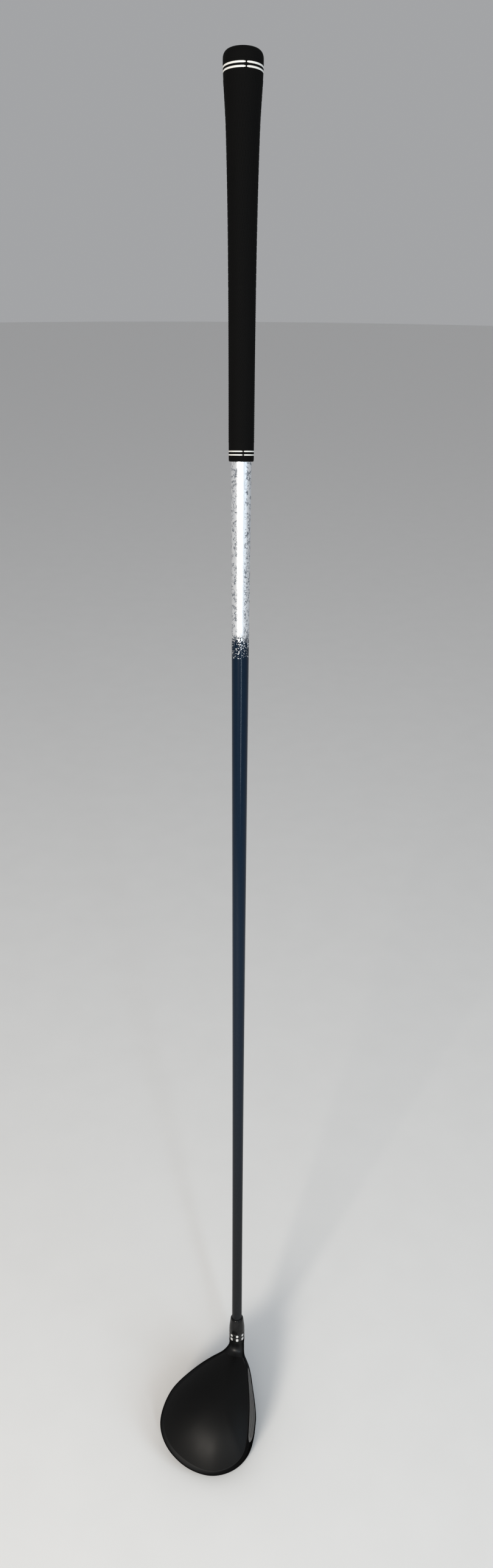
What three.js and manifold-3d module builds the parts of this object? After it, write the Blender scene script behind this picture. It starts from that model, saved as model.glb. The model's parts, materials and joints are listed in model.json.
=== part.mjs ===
// Golf club of the fairway-wood kind: a hollow metal head with a composite crown, and a tapered
// composite shaft that a bolt in the head draws into the neck, with two index rings between them.
// The club leans as it does against a wall: +Z is up, +X is the way the face looks, and the toe
// points along -Y. The origin is on the ground, under the middle of the club's box.
import * as THREE from "three";
import { mergeVertices } from "three/addons/utils/BufferGeometryUtils.js";
import Module from "manifold-3d";

const wasm = await Module();
wasm.setup();

// ---- Driving dimensions, in millimetres and degrees ----

const lieAngle = 57.5; // shaft to ground when the sole lies flat
const restLean = 22; // how much further the club is tipped, toe down, to lean on a wall
const loftAngle = 15; // how far the face leans back

const gripLength = 262;
const exposedShaft = 771.2; // bare shaft between grip and ferrule
const ferruleLength = 14.6;
const indexRingHeight = 3.8;
const neckTop = 37.6; // end of the head's neck, measured from the ground along the shaft

const fitGap = 0.15; // radial gap of glued and turning fits
const faceGap = 0.3; // gap where two pieces meet face to face

const shaftTipRadius = 4.52;
const shaftWall = 1.4;
const shaftButtRadius = 7.6;
const tipPlugLength = 22;

const tapeThickness = 0.35;
const tapeEndMargin = 2;
const gripMouthWall = 0.9;
const capHeight = 8.1;
const capFlatRadius = 6;
const capSpigotWall = 1.75; // from the grip's bore out to the cap's spigot
const capSpigotDepth = 6;
const ventRadius = 1.2;

const adapterWall = 1.4; // in the neck's bore, round the shaft's tip
const adapterNeckWall = 1.2; // under the two index rings
const adapterTopWall = 0.6; // inside the ferrule
const indexRingWall = 1.18;
const ferruleLip = 3.4; // how far the ferrule reaches above the adapter
const ferruleTopWall = 0.5; // from the adapter's top out to the ferrule's
const neckWall = 1;
const neckTubeWall = 1.25; // the neck's tube inside the head
const neckFlareRadius = 11; // the hollow curve by which the neck runs into the head
const neckFlareTop = 32; // where it starts, measured from the ground along the shaft
const neckFlareReach = 9.5; // how far down it runs, less than its radius

const boreFloor = 19.4; // floor of the neck's bore, measured from the ground along the shaft
const webThickness = 2.2;
const boltRadius = 2.5;
const boltHeadRadius = 4.7;
const boltHeadHeight = 3.6;
const boltPitch = 0.8;
const boltTurns = 6;
const threadGrip = 5.2;
const threadRoom = 1.4; // room past the bolt's end
const washerThickness = 1;
const boltPortRoom = 0.8; // between the bolt's head and its port
const retainerDepth = 0.6; // of the retaining ring in the port's wall
const retainerLip = 0.7; // how far the ring covers the bolt's head
const retainerThickness = 1.1;
const retainerSplit = 2.4;
const retainerSink = 0.4; // how far the ring stays inside the sole where the sole rises past its groove

const soleWall = 1.3;
const crownWall = 1.3;
const crownLedge = 1.2; // thickness of the ledge that the crown is glued to
const crownLedgeWidth = 5;
const crownRim = 1.6; // from the body's top edge to the crown's joint
const crownCutBottom = 15.2; // above the widest part of the skirt, below the crown's edge
const facePlateWall = 2.3;

const solePlateThickness = 1.3;
const solePadWall = 1.6;

const weightRadius = 7.5;
const weightHeight = 4.6;
const weightSink = 0.4; // how far the weight sits inside its port's mouth
const weightScrewRadius = 2;
const weightScrewHeadRadius = 3.6;
const weightScrewHeadHeight = 2;
const weightScrewReach = 5.4; // thread past the weight
const weightBossWall = 1.3;
const hexSocketRadius = 1.9;
const hexSocketDepth = 1.3;

const round = 24; // facets round a turned piece
const stationSteps = 3; // facets between two stations of the head's hoops

// ---- The head's outline: three hoops and two poles, sole flat on the ground ----
// The shaft's line meets the ground at 0, 0. Stations run from the face's middle by way of the
// heel, the back and the toe: x forward, y towards the heel, z up.

const soleHoop = [
  [15.4, -45, 1.2],
  [12.8, -20, 1.8],
  [7.6, -1, 3],
  [-1, 10, 4.6],
  [-15.5, 4, 5],
  [-36, -8.5, 4.8],
  [-54, -26, 4.2],
  [-61, -47, 4],
  [-55.5, -63.5, 4.4],
  [-40, -76.5, 5.6],
  [-21, -80.5, 6.5],
  [-3, -75.5, 5],
  [9, -68.5, 2.6],
];
const skirtHoop = [
  [18.4, -45, 4.5],
  [15.8, -19, 6.2],
  [10.6, 3, 9],
  [-0.5, 16.8, 12],
  [-18, 9.5, 15],
  [-41, -4.2, 15.5],
  [-61.5, -23, 14],
  [-69.8, -47.4, 13],
  [-63.5, -66.5, 13.5],
  [-45, -83.2, 14.5],
  [-21.9, -90.1, 15],
  [-1.5, -85.2, 12.5],
  [12, -72, 8.5],
];
const crownHoop = [
  [11.2, -45, 31.4],
  [10.4, -19, 29.6],
  [7.6, 1, 27],
  [-1, 12.5, 24.5],
  [-16.5, 6.4, 22.8],
  [-38.6, -6.8, 20.5],
  [-58.8, -24.8, 18.2],
  [-66.7, -47.2, 17.2],
  [-60.8, -65, 17.8],
  [-43.4, -80.4, 19.6],
  [-21.8, -88, 22],
  [-3.5, -84, 24.5],
  [6.9, -74.5, 28],
];
const solePole = [-22, -42];
const crownPole = [-13, -40];
const crownHeight = 38.2;
const headCentre = [-24, -40];
const soleLandShare = 0.55; // the part of the sole's reach that is flat
const crownFullness = 2.2; // 2 is an even dome, and more is flatter on top
const skirtFullness = 1.8; // 1 is a straight wall, and more is rounder
const faceStations = [11.4, 2.2]; // the stations between which the wall is the straight face

const faceOutline = [
  [-3.5, 18.6],
  [-14, 12.6],
  [-30, 9.2],
  [-44, 8.6],
  [-54, 9.6],
  [-61.5, 13.2],
  [-64.5, 19.5],
  [-61.5, 25],
  [-50, 27.2],
  [-35, 27],
  [-18, 25.4],
  [-7.5, 23],
]; // y and z of the face plate's edge
const facePoint = [15, -38, 17]; // a point of the face's plane
const faceOutlineReach = 12; // how far the face's cutting prisms reach to each side of it
const solePlateOutline = [
  [-8.6, -41],
  [-13, -27.5],
  [-25, -18],
  [-36, -27],
  [-40, -41],
  [-36, -55],
  [-25, -60.5],
  [-13, -54.5],
];
const frontWeightSpot = [2, -44, 0];
const rearWeightSpot = [-52.5, -46, 0.9];
const rearWeightTilt = 13; // the sole rises towards the back

// ---- Sizes that follow from the ones above ----

const lowerRingBottom = neckTop + faceGap;
const upperRingBottom = lowerRingBottom + indexRingHeight + faceGap;
const ferruleBottom = upperRingBottom + indexRingHeight + faceGap;
const ferruleTop = ferruleBottom + ferruleLength;
const adapterTop = ferruleTop - ferruleLip;
const gripMouth = ferruleTop + exposedShaft;
const buttEnd = gripMouth + gripLength;
const capSeat = buttEnd - capHeight;
const shaftButt = capSeat - capSpigotDepth - faceGap;
const adapterBottom = boreFloor + faceGap;
const boltTip = adapterBottom + threadGrip;
const shaftTip = boltTip + threadRoom + faceGap;
const washerTop = boreFloor - webThickness - faceGap;
const boltHeadTop = washerTop - washerThickness - faceGap;
const boltHeadBottom = boltHeadTop - boltHeadHeight;
const boltTravel = boltPitch * boltTurns;
const retainerTop = boltHeadBottom - boltTravel - faceGap;
const boltPortRadius = boltHeadRadius + boltPortRoom;
const retainerRadius = boltPortRadius + retainerDepth;
const retainerHoleRadius = boltHeadRadius - retainerLip;
const tipBoreRadius = shaftTipRadius + fitGap;
const adapterRadius = tipBoreRadius + adapterWall;
const adapterNeckRadius = tipBoreRadius + adapterNeckWall;
const adapterTopRadius = tipBoreRadius + adapterTopWall;
const indexRingRadius = adapterNeckRadius + fitGap + indexRingWall;
const ferruleTopRadius = adapterTopRadius + ferruleTopWall;
const neckRadius = adapterRadius + fitGap + neckWall;
const neckTubeRadius = Math.max(adapterRadius, retainerRadius) + fitGap + neckTubeWall;
const neckFlareOut = neckFlareRadius - Math.sqrt(neckFlareRadius ** 2 - neckFlareReach ** 2);
const crownNeckRadius = neckRadius + neckFlareOut;
const gripBoreRadius = shaftButtRadius + tapeThickness + 2 * fitGap;
const gripMouthRadius = gripBoreRadius + gripMouthWall;
const capSpigotRadius = gripBoreRadius + capSpigotWall;
const weightFloor = weightSink + weightHeight + faceGap;
const weightScrewTip = weightFloor + weightScrewReach;
const weightBossRadius = weightRadius + faceGap + weightBossWall;
const lean = THREE.MathUtils.degToRad(restLean);
const shaftTilt = THREE.MathUtils.degToRad(90 - lieAngle);
const loft = THREE.MathUtils.degToRad(loftAngle);

// The shaft's taper at shares of its bare length below the grip: shares of its fall in radius.
const shaftTaper = [
  [0.182, 0.31],
  [0.445, 0.64],
  [0.747, 0.93],
  [0.908, 1],
];
// The grip's wall at shares of its length above the mouth.
const gripSwell = [
  [0.005, gripMouthWall + 0.1],
  [0.248, 1.18],
  [0.397, 1.4],
  [0.542, 1.75],
  [0.687, 2.4],
  [0.824, 3.38],
  [0.878, 4.15],
  [0.93, 5.05],
  [0.959, 5.45],
];
const gripRimRadius = gripBoreRadius + gripSwell[gripSwell.length - 1][1];

// ---- Solids and booleans ----

function solidOf(geometry) {
  const bare = geometry.clone();
  bare.deleteAttribute("normal");
  bare.deleteAttribute("uv");
  const merged = mergeVertices(bare, 1e-4);
  return new wasm.Manifold(
    new wasm.Mesh({
      numProp: 3,
      vertProperties: new Float32Array(merged.attributes.position.array),
      triVerts: new Uint32Array(merged.index.array),
    }),
  );
}

function geometryOf(solid) {
  const mesh = solid.getMesh();
  const positions = new Float32Array(mesh.numVert * 3);
  for (let i = 0; i < mesh.numVert; i++) {
    const from = i * mesh.numProp;
    positions.set(mesh.vertProperties.subarray(from, from + 3), i * 3);
  }
  const geometry = new THREE.BufferGeometry();
  geometry.setAttribute("position", new THREE.BufferAttribute(positions, 3));
  geometry.setIndex(new THREE.BufferAttribute(new Uint32Array(mesh.triVerts), 1));
  geometry.computeVertexNormals();
  return geometry;
}

function cut(solid, ...tools) {
  return tools.reduce((left, tool) => left.subtract(tool), solid);
}

function join(...solids) {
  return solids.reduce((all, next) => all.add(next));
}

// A turned piece round +Z from [radius, height] pairs. Its outline closes on itself unless both
// of its ends are on the axis.
function turned(outline, facets = round) {
  const points = outline.map(([radius, height]) => new THREE.Vector2(radius, height));
  const last = points[points.length - 1];
  if (points[0].x > 0 || last.x > 0) points.push(points[0].clone());
  if (THREE.ShapeUtils.area(points) < 0) points.reverse();
  const geometry = new THREE.LatheGeometry(points, facets);
  return geometry.rotateX(Math.PI / 2);
}

function rod(radius, bottom, top, facets = round) {
  return turned([[0, bottom], [radius, bottom], [radius, top], [0, top]], facets);
}

function tube(inner, outer, bottom, top) {
  return turned([[inner, bottom], [outer, bottom], [outer, top], [inner, top]]);
}

// A closed skin over rings of points that run anticlockwise from below to above, between two poles.
function skinOver(bottomPole, rings, topPole) {
  const positions = [];
  const triangle = (...corners) => corners.forEach((p) => positions.push(p.x, p.y, p.z));
  const count = rings[0].length;
  for (let i = 0; i < count; i++) {
    const next = (i + 1) % count;
    triangle(bottomPole, rings[0][next], rings[0][i]);
    for (let r = 0; r + 1 < rings.length; r++) {
      triangle(rings[r][i], rings[r][next], rings[r + 1][next]);
      triangle(rings[r][i], rings[r + 1][next], rings[r + 1][i]);
    }
    const top = rings[rings.length - 1];
    triangle(top[i], top[next], topPole);
  }
  const geometry = new THREE.BufferGeometry();
  const attribute = new THREE.Float32BufferAttribute(positions, 3);
  return mergeVertices(geometry.setAttribute("position", attribute), 1e-4);
}

// A prism of a smooth closed outline through the given points, grown outwards by some millimetres.
function prism(outline, grow, bottom, top) {
  const middle = new THREE.Vector2();
  outline.forEach(([x, y]) => middle.add(new THREE.Vector2(x, y)));
  middle.divideScalar(outline.length);
  const points = outline.map(([x, y]) => {
    const out = new THREE.Vector2(x, y).sub(middle);
    out.setLength(out.length() + grow).add(middle);
    return new THREE.Vector3(out.x, out.y, 0);
  });
  const curve = new THREE.CatmullRomCurve3(points, true);
  const rim = curve.getPoints(outline.length * stationSteps).slice(0, -1);
  const shape = new THREE.Shape(rim.map((p) => new THREE.Vector2(p.x, p.y)));
  const geometry = new THREE.ExtrudeGeometry(shape, { depth: top - bottom, bevelEnabled: false });
  return geometry.translate(0, 0, bottom);
}

function alongShaft(geometry) {
  return geometry.clone().rotateX(-shaftTilt);
}

// ---- The head's skin ----

// How much the wall at a station belongs to the straight face: 1 on the face, 0 elsewhere.
function faceShare(station) {
  const [from, to] = faceStations;
  const count = skirtHoop.length;
  const past = station >= count / 2 ? station - count : station;
  const low = THREE.MathUtils.smoothstep(past, from - count - 0.6, from - count + 0.6);
  return low * (1 - THREE.MathUtils.smoothstep(past, to - 0.6, to + 0.6));
}

// A hoop moved towards the head's centre by inset, and up by rise.
function hoopRing(hoop, inset, rise) {
  const centre = new THREE.Vector3(...headCentre, 0);
  const points = hoop.map(([x, y, z]) => {
    const out = new THREE.Vector3(x, y, 0).sub(centre);
    out.setLength(out.length() - inset).add(centre);
    return out.setZ(z + rise);
  });
  const curve = new THREE.CatmullRomCurve3(points, true);
  return curve.getPoints(hoop.length * stationSteps).slice(0, -1);
}

// The head's outer skin, or with walls taken off it, the inner one.
function headSkin(wall = 0, topWall = wall) {
  const sole = hoopRing(soleHoop, wall, wall);
  const skirt = hoopRing(skirtHoop, wall, 0);
  const crown = hoopRing(crownHoop, Math.max(wall, 0), -0.7 * topWall);
  const bottomPole = new THREE.Vector3(...solePole, wall);
  const topPole = new THREE.Vector3(...crownPole, crownHeight - topWall);
  const rings = [];
  for (const share of [soleLandShare, 0.7, 0.85]) {
    const rise = Math.max(0, (share - soleLandShare) / (1 - soleLandShare)) ** 2;
    rings.push(
      sole.map((p) => {
        const point = bottomPole.clone().lerp(p, share);
        return point.setZ(wall + (p.z - wall) * rise);
      }),
    );
  }
  rings.push(sole);
  for (const turn of [0.35, 0.7]) {
    const angle = (turn * Math.PI) / 2;
    rings.push(
      sole.map((p, i) => {
        const point = p.clone().lerp(skirt[i], Math.sin(angle));
        return point.setZ(THREE.MathUtils.lerp(p.z, skirt[i].z, 1 - Math.cos(angle)));
      }),
    );
  }
  rings.push(skirt);
  for (const share of [0.4, 0.75]) {
    rings.push(
      skirt.map((p, i) => {
        const fullness = THREE.MathUtils.lerp(skirtFullness, 1, faceShare(i / stationSteps));
        const point = p.clone().lerp(crown[i], share ** fullness);
        return point.setZ(THREE.MathUtils.lerp(p.z, crown[i].z, share));
      }),
    );
  }
  rings.push(crown);
  for (const share of [0.88, 0.72, 0.54, 0.35, 0.17]) {
    rings.push(
      crown.map((p) => {
        const point = topPole.clone().lerp(p, share);
        const height = p.z + (topPole.z - p.z) * (1 - share ** crownFullness);
        return point.setZ(height);
      }),
    );
  }
  return solidOf(skinOver(bottomPole, rings, topPole));
}

// The neck outside the head: round at the top, and flaring into the head towards back and toe.
function neckSkin() {
  const flareTurn = THREE.MathUtils.degToRad(215);
  const drops = [0, 0.3, 0.55, 0.75, 0.9, 1].map((share) => share * neckFlareReach);
  const bottomHeight = neckFlareTop - neckFlareReach - 4;
  const levels = drops.map((drop) => [neckFlareTop - drop, drop]).reverse();
  levels.unshift([bottomHeight, neckFlareReach]);
  levels.push([neckTop, 0]);
  const rings = levels.map(([height, drop]) => {
    const flare = neckFlareRadius - Math.sqrt(neckFlareRadius ** 2 - drop ** 2);
    const ring = [];
    for (let i = 0; i < round; i++) {
      const angle = (i / round) * 2 * Math.PI;
      const share = (0.5 + 0.5 * Math.cos(angle - flareTurn)) ** 2;
      const radius = neckRadius + flare * share;
      ring.push(new THREE.Vector3(radius * Math.cos(angle), radius * Math.sin(angle), height));
    }
    return ring;
  });
  const bottom = new THREE.Vector3(0, 0, bottomHeight);
  const top = new THREE.Vector3(0, 0, neckTop);
  return solidOf(alongShaft(skinOver(bottom, rings, top)));
}

// ---- Regions of the head that its pieces share ----

const outerHead = headSkin();
const innerHead = headSkin(soleWall, crownWall + faceGap + crownLedge);
const crownOutline = crownHoop.map(([x, y]) => [x, y]);

function crownRegion(grow, neckGrow) {
  const whole = solidOf(prism(crownOutline, grow - crownRim, crownCutBottom, crownHeight + 10));
  return whole.subtract(solidOf(alongShaft(rod(crownNeckRadius + neckGrow, -20, 80))));
}

// A prism along the face's normal, through the wall.
function faceRegion(outline, grow) {
  const [x, y, z] = facePoint;
  const local = outline.map(([across, up]) => [across - y, (up - z) / Math.cos(loft)]);
  const geometry = prism(local, grow, -faceOutlineReach, faceOutlineReach);
  const across = new THREE.Vector3(0, 1, 0);
  const up = new THREE.Vector3(-Math.sin(loft), 0, Math.cos(loft));
  const out = new THREE.Vector3().crossVectors(across, up);
  const place = new THREE.Matrix4().makeBasis(across, up, out).setPosition(x, y, z);
  return solidOf(geometry.applyMatrix4(place));
}

function weightPlace(spot, tilt) {
  const turn = new THREE.Matrix4().makeRotationY(THREE.MathUtils.degToRad(tilt));
  return turn.setPosition(...spot);
}

const frontPlace = weightPlace(frontWeightSpot, 0);
const rearPlace = weightPlace(rearWeightSpot, rearWeightTilt);

// ---- Pieces of the head ----

function headBody() {
  const crownPocket = crownRegion(faceGap, 0).subtract(headSkin(crownWall + faceGap));
  const crownWindow = crownRegion(-crownLedgeWidth, crownLedgeWidth);
  const shell = cut(outerHead, innerHead, crownPocket, crownWindow);
  const neckTube = solidOf(alongShaft(rod(neckTubeRadius, -10, neckTop - 1)));
  const boss = rod(weightBossRadius, -4, weightScrewTip + faceGap + weightBossWall);
  const frontBoss = solidOf(boss.clone().applyMatrix4(frontPlace));
  const rearBoss = solidOf(boss.clone().applyMatrix4(rearPlace));
  const padTop = solePlateThickness + faceGap + solePadWall;
  const solePad = solidOf(prism(solePlateOutline, solePadWall, -1, padTop));
  const inside = join(neckTube, frontBoss, rearBoss, solePad).intersect(outerHead);
  const filled = join(shell, inside, neckSkin());

  const boltPort = turned([
    [0, -20],
    [boltPortRadius, -20],
    [boltPortRadius, retainerTop - retainerThickness - faceGap],
    [retainerRadius + fitGap, retainerTop - retainerThickness - faceGap],
    [retainerRadius + fitGap, retainerTop + faceGap / 2],
    [boltPortRadius, retainerTop + faceGap / 2],
    [boltPortRadius, boreFloor - webThickness],
    [boltRadius + faceGap, boreFloor - webThickness],
    [boltRadius + faceGap, boreFloor],
    [adapterRadius + fitGap, boreFloor],
    [adapterRadius + fitGap, neckTop + 10],
    [0, neckTop + 10],
  ]);
  const weightPort = turned([
    [0, -12],
    [weightRadius + faceGap, -12],
    [weightRadius + faceGap, weightFloor],
    [weightScrewRadius + fitGap, weightFloor],
    [weightScrewRadius + fitGap, weightScrewTip + faceGap],
    [0, weightScrewTip + faceGap],
  ]);
  const plateSeat = prism(solePlateOutline, faceGap, -5, solePlateThickness + faceGap);
  return cut(
    filled,
    solidOf(alongShaft(boltPort)),
    solidOf(weightPort.clone().applyMatrix4(frontPlace)),
    solidOf(weightPort.clone().applyMatrix4(rearPlace)),
    solidOf(plateSeat),
    faceRegion(faceOutline, faceGap).subtract(headSkin(facePlateWall + 2)),
  );
}

function crownShell() {
  return outerHead.intersect(crownRegion(0, faceGap)).subtract(headSkin(crownWall));
}

function facePlate() {
  const skin = outerHead.subtract(headSkin(facePlateWall));
  return skin.intersect(faceRegion(faceOutline, 0));
}

function solePlate() {
  return prism(solePlateOutline, 0, 0, solePlateThickness);
}

// ---- Fasteners and weights, along +Z into the head ----

function socket(radius, bottom, depth) {
  const hexagon = rod(radius, bottom - 1, bottom + depth, 6);
  return solidOf(hexagon);
}

function hoselBolt() {
  const body = turned([
    [0, boltHeadBottom],
    [boltHeadRadius - 0.4, boltHeadBottom],
    [boltHeadRadius, boltHeadBottom + 0.4],
    [boltHeadRadius, boltHeadTop],
    [boltRadius, boltHeadTop],
    [boltRadius, boltTip - 0.5],
    [boltRadius - 0.5, boltTip],
    [0, boltTip],
  ]);
  return solidOf(body).subtract(socket(boltRadius, boltHeadBottom, boltHeadHeight * 0.6));
}

function boltWasher() {
  return tube(boltRadius + fitGap, boltPortRadius - faceGap, washerTop - washerThickness, washerTop);
}

function retainingRing() {
  const bottom = retainerTop - retainerThickness;
  const ring = solidOf(tube(retainerHoleRadius, retainerRadius, bottom, retainerTop));
  const split = new THREE.BoxGeometry(retainerSplit, 2 * retainerRadius, 4 * retainerThickness);
  const inHead = outerHead
    .translate(0, 0, retainerSink)
    .rotate(THREE.MathUtils.radToDeg(shaftTilt), 0, 0);
  return ring.subtract(solidOf(split.translate(0, retainerRadius, retainerTop))).intersect(inHead);
}

function weight() {
  return turned([
    [weightScrewRadius + fitGap, weightSink + weightHeight],
    [weightScrewRadius + fitGap, weightSink + weightScrewHeadHeight + 2 * faceGap],
    [weightScrewHeadRadius + faceGap, weightSink + weightScrewHeadHeight + 2 * faceGap],
    [weightScrewHeadRadius + faceGap, weightSink],
    [weightRadius - 0.6, weightSink],
    [weightRadius, weightSink + 0.6],
    [weightRadius, weightSink + weightHeight],
  ]);
}

function weightScrew() {
  const bottom = weightSink + faceGap;
  const body = turned([
    [0, bottom],
    [weightScrewHeadRadius, bottom],
    [weightScrewHeadRadius, bottom + weightScrewHeadHeight],
    [weightScrewRadius, bottom + weightScrewHeadHeight],
    [weightScrewRadius, weightScrewTip],
    [0, weightScrewTip],
  ]);
  return solidOf(body).subtract(socket(hexSocketRadius, bottom, hexSocketDepth));
}

// ---- Pieces on the shaft, along +Z up it ----

function adapterSleeve() {
  return turned([
    [boltRadius + fitGap, adapterBottom],
    [adapterRadius - 0.5, adapterBottom],
    [adapterRadius, adapterBottom + 0.5],
    [adapterRadius, neckTop],
    [adapterNeckRadius, neckTop],
    [adapterNeckRadius, ferruleBottom],
    [adapterTopRadius, ferruleBottom + faceGap],
    [adapterTopRadius, adapterTop],
    [tipBoreRadius, adapterTop],
    [tipBoreRadius, shaftTip - faceGap],
    [boltRadius + fitGap, shaftTip - faceGap],
  ]);
}

function indexRing(bottom) {
  const top = bottom + indexRingHeight;
  return turned([
    [adapterNeckRadius + fitGap, bottom],
    [indexRingRadius - 0.25, bottom],
    [indexRingRadius, bottom + 0.25],
    [indexRingRadius, top - 0.25],
    [indexRingRadius - 0.25, top],
    [adapterNeckRadius + fitGap, top],
  ]);
}

function ferrule() {
  const reach = ferruleTop - ferruleBottom;
  return turned([
    [adapterNeckRadius + fitGap, ferruleBottom],
    [indexRingRadius, ferruleBottom],
    [indexRingRadius - 0.1, ferruleBottom + 0.25 * reach],
    [indexRingRadius - 0.45, ferruleBottom + 0.55 * reach],
    [ferruleTopRadius + 0.45, ferruleBottom + 0.85 * reach],
    [ferruleTopRadius, ferruleTop - 0.7],
    [ferruleTopRadius - 0.7, ferruleTop],
    [tipBoreRadius, ferruleTop],
    [tipBoreRadius, adapterTop + faceGap],
    [adapterTopRadius + fitGap, adapterTop + faceGap],
    [adapterTopRadius + fitGap, ferruleBottom + 2 * faceGap],
    [adapterNeckRadius + fitGap, ferruleBottom + faceGap],
  ]);
}

function shaft() {
  const outside = shaftTaper.map(([below, fall]) => [
    THREE.MathUtils.lerp(shaftButtRadius, shaftTipRadius, fall),
    gripMouth - below * exposedShaft,
  ]);
  outside.reverse();
  const bore = outside.map(([radius, height]) => [radius - shaftWall, height]);
  bore.reverse();
  return turned([
    [shaftTipRadius - shaftWall, shaftTip],
    [shaftTipRadius, shaftTip],
    ...outside,
    [shaftButtRadius, gripMouth],
    [shaftButtRadius, shaftButt],
    [shaftButtRadius - shaftWall, shaftButt],
    [shaftButtRadius - shaftWall, gripMouth],
    ...bore,
  ]);
}

function tipPlug() {
  return rod(shaftTipRadius - shaftWall - fitGap, shaftTip + faceGap, shaftTip + tipPlugLength);
}

function gripTape() {
  const inner = shaftButtRadius + fitGap;
  return tube(inner, inner + tapeThickness, gripMouth + tapeEndMargin, shaftButt - tapeEndMargin);
}

function gripSleeve() {
  const outside = gripSwell.map(([above, wall]) => [
    gripBoreRadius + wall,
    gripMouth + above * gripLength,
  ]);
  return turned([
    [gripBoreRadius, gripMouth],
    [gripMouthRadius - 0.5, gripMouth],
    ...outside,
    [gripRimRadius, capSeat - faceGap],
    [capSpigotRadius + fitGap, capSeat - faceGap],
    [capSpigotRadius + fitGap, shaftButt],
    [gripBoreRadius, shaftButt],
  ]);
}

function gripEndCap() {
  const dome = [];
  for (const turn of [0, 20, 40, 60, 78, 90]) {
    const angle = THREE.MathUtils.degToRad(turn);
    const radius = capFlatRadius + (gripRimRadius - capFlatRadius) * Math.cos(angle) ** 0.75;
    dome.push([radius, capSeat + capHeight * (0.25 + 0.75 * Math.sin(angle))]);
  }
  return turned([
    [ventRadius, capSeat - capSpigotDepth],
    [capSpigotRadius, capSeat - capSpigotDepth],
    [capSpigotRadius, capSeat],
    [gripRimRadius, capSeat],
    ...dome,
    [ventRadius, buttEnd],
  ]);
}

// ---- The club ----

const finishes = {
  rubber: { color: 0x161617, roughness: 0.85, metalness: 0 },
  tape: { color: 0xcfc7ae, roughness: 0.8, metalness: 0 },
  shaftPaint: { color: 0x12141f, roughness: 0.18, metalness: 0 },
  plastic: { color: 0x0d0d0f, roughness: 0.3, metalness: 0 },
  anodised: { color: 0x1a1a1c, roughness: 0.4, metalness: 0.8 },
  crownPaint: { color: 0x111113, roughness: 0.45, metalness: 0 },
  bodyPaint: { color: 0x0f0f10, roughness: 0.3, metalness: 0.2 },
  faceSteel: { color: 0x4a4a4c, roughness: 0.4, metalness: 0.9 },
  steel: { color: 0x8d8f92, roughness: 0.35, metalness: 1 },
};

function piece(name, shape, finish) {
  const geometry = shape.isBufferGeometry ? shape : geometryOf(shape);
  const mesh = new THREE.Mesh(geometry, new THREE.MeshStandardMaterial(finishes[finish]));
  mesh.name = name;
  return mesh;
}

function headGroup() {
  const group = new THREE.Group();
  group.add(
    piece("head_body", headBody(), "bodyPaint"),
    piece("crown_shell", crownShell(), "crownPaint"),
    piece("face_plate", facePlate(), "faceSteel"),
    piece("sole_plate", solePlate(), "plastic"),
  );
  for (const [side, place] of [["front", frontPlace], ["rear", rearPlace]]) {
    const port = new THREE.Group();
    port.applyMatrix4(place);
    port.add(
      piece(`${side}_weight`, weight(), "steel"),
      piece(`${side}_weight_screw`, weightScrew(), "steel"),
    );
    group.add(port);
  }
  return group;
}

function shaftGroup() {
  const group = new THREE.Group();
  group.rotation.x = -shaftTilt;
  group.add(
    piece("hosel_bolt", hoselBolt(), "steel"),
    piece("bolt_washer", boltWasher(), "steel"),
    piece("bolt_retaining_ring", retainingRing(), "steel"),
    piece("adapter_sleeve", adapterSleeve(), "anodised"),
    piece("lower_index_ring", indexRing(lowerRingBottom), "anodised"),
    piece("upper_index_ring", indexRing(upperRingBottom), "anodised"),
    piece("ferrule", ferrule(), "plastic"),
    piece("shaft", shaft(), "shaftPaint"),
    piece("shaft_tip_plug", tipPlug(), "plastic"),
    piece("grip_tape", gripTape(), "tape"),
    piece("grip_sleeve", gripSleeve(), "rubber"),
    piece("grip_end_cap", gripEndCap(), "rubber"),
  );
  return group;
}

const club = new THREE.Group();
club.add(headGroup(), shaftGroup());
club.rotation.x = lean;
const clubBox = new THREE.Box3().setFromObject(club, true);
const clubMiddle = clubBox.getCenter(new THREE.Vector3());
club.position.set(-clubMiddle.x, -clubMiddle.y, -clubBox.min.z);

const part = new THREE.Group();
part.add(club);

export default part;
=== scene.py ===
# A fairway-wood golf club as it leans on a wall: grip, shaft, adjustable neck and hollow head.
import json
import math

import bmesh
import bpy
import numpy as np
from mathutils import Matrix, Vector


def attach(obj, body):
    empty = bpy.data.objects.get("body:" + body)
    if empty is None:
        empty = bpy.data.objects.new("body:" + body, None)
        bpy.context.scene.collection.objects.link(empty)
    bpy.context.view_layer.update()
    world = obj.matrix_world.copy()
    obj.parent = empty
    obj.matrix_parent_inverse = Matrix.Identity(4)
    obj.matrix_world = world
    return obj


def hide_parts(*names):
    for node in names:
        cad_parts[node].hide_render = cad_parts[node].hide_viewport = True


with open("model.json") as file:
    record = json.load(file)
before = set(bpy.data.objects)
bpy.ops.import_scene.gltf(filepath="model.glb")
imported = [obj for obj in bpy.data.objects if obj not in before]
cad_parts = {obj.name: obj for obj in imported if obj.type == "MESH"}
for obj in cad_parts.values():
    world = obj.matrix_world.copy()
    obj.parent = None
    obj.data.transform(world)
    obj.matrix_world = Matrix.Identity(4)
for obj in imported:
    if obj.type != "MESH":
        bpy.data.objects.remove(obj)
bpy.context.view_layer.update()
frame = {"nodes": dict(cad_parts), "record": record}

# ---- The shaft's line and the head's own axes ----
# Everything on the shaft is turned round one line. The head is drawn as it sits on the ground at
# address: x towards the face's front, y towards the heel, z up, from the foot of the shaft's line.

mm = 0.001
record = frame["record"]
joints = {joint["name"]: joint for joint in record["behaviour"]["joints"]}
mounts = {mount["name"]: mount for mount in record["mounts"]}


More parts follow.
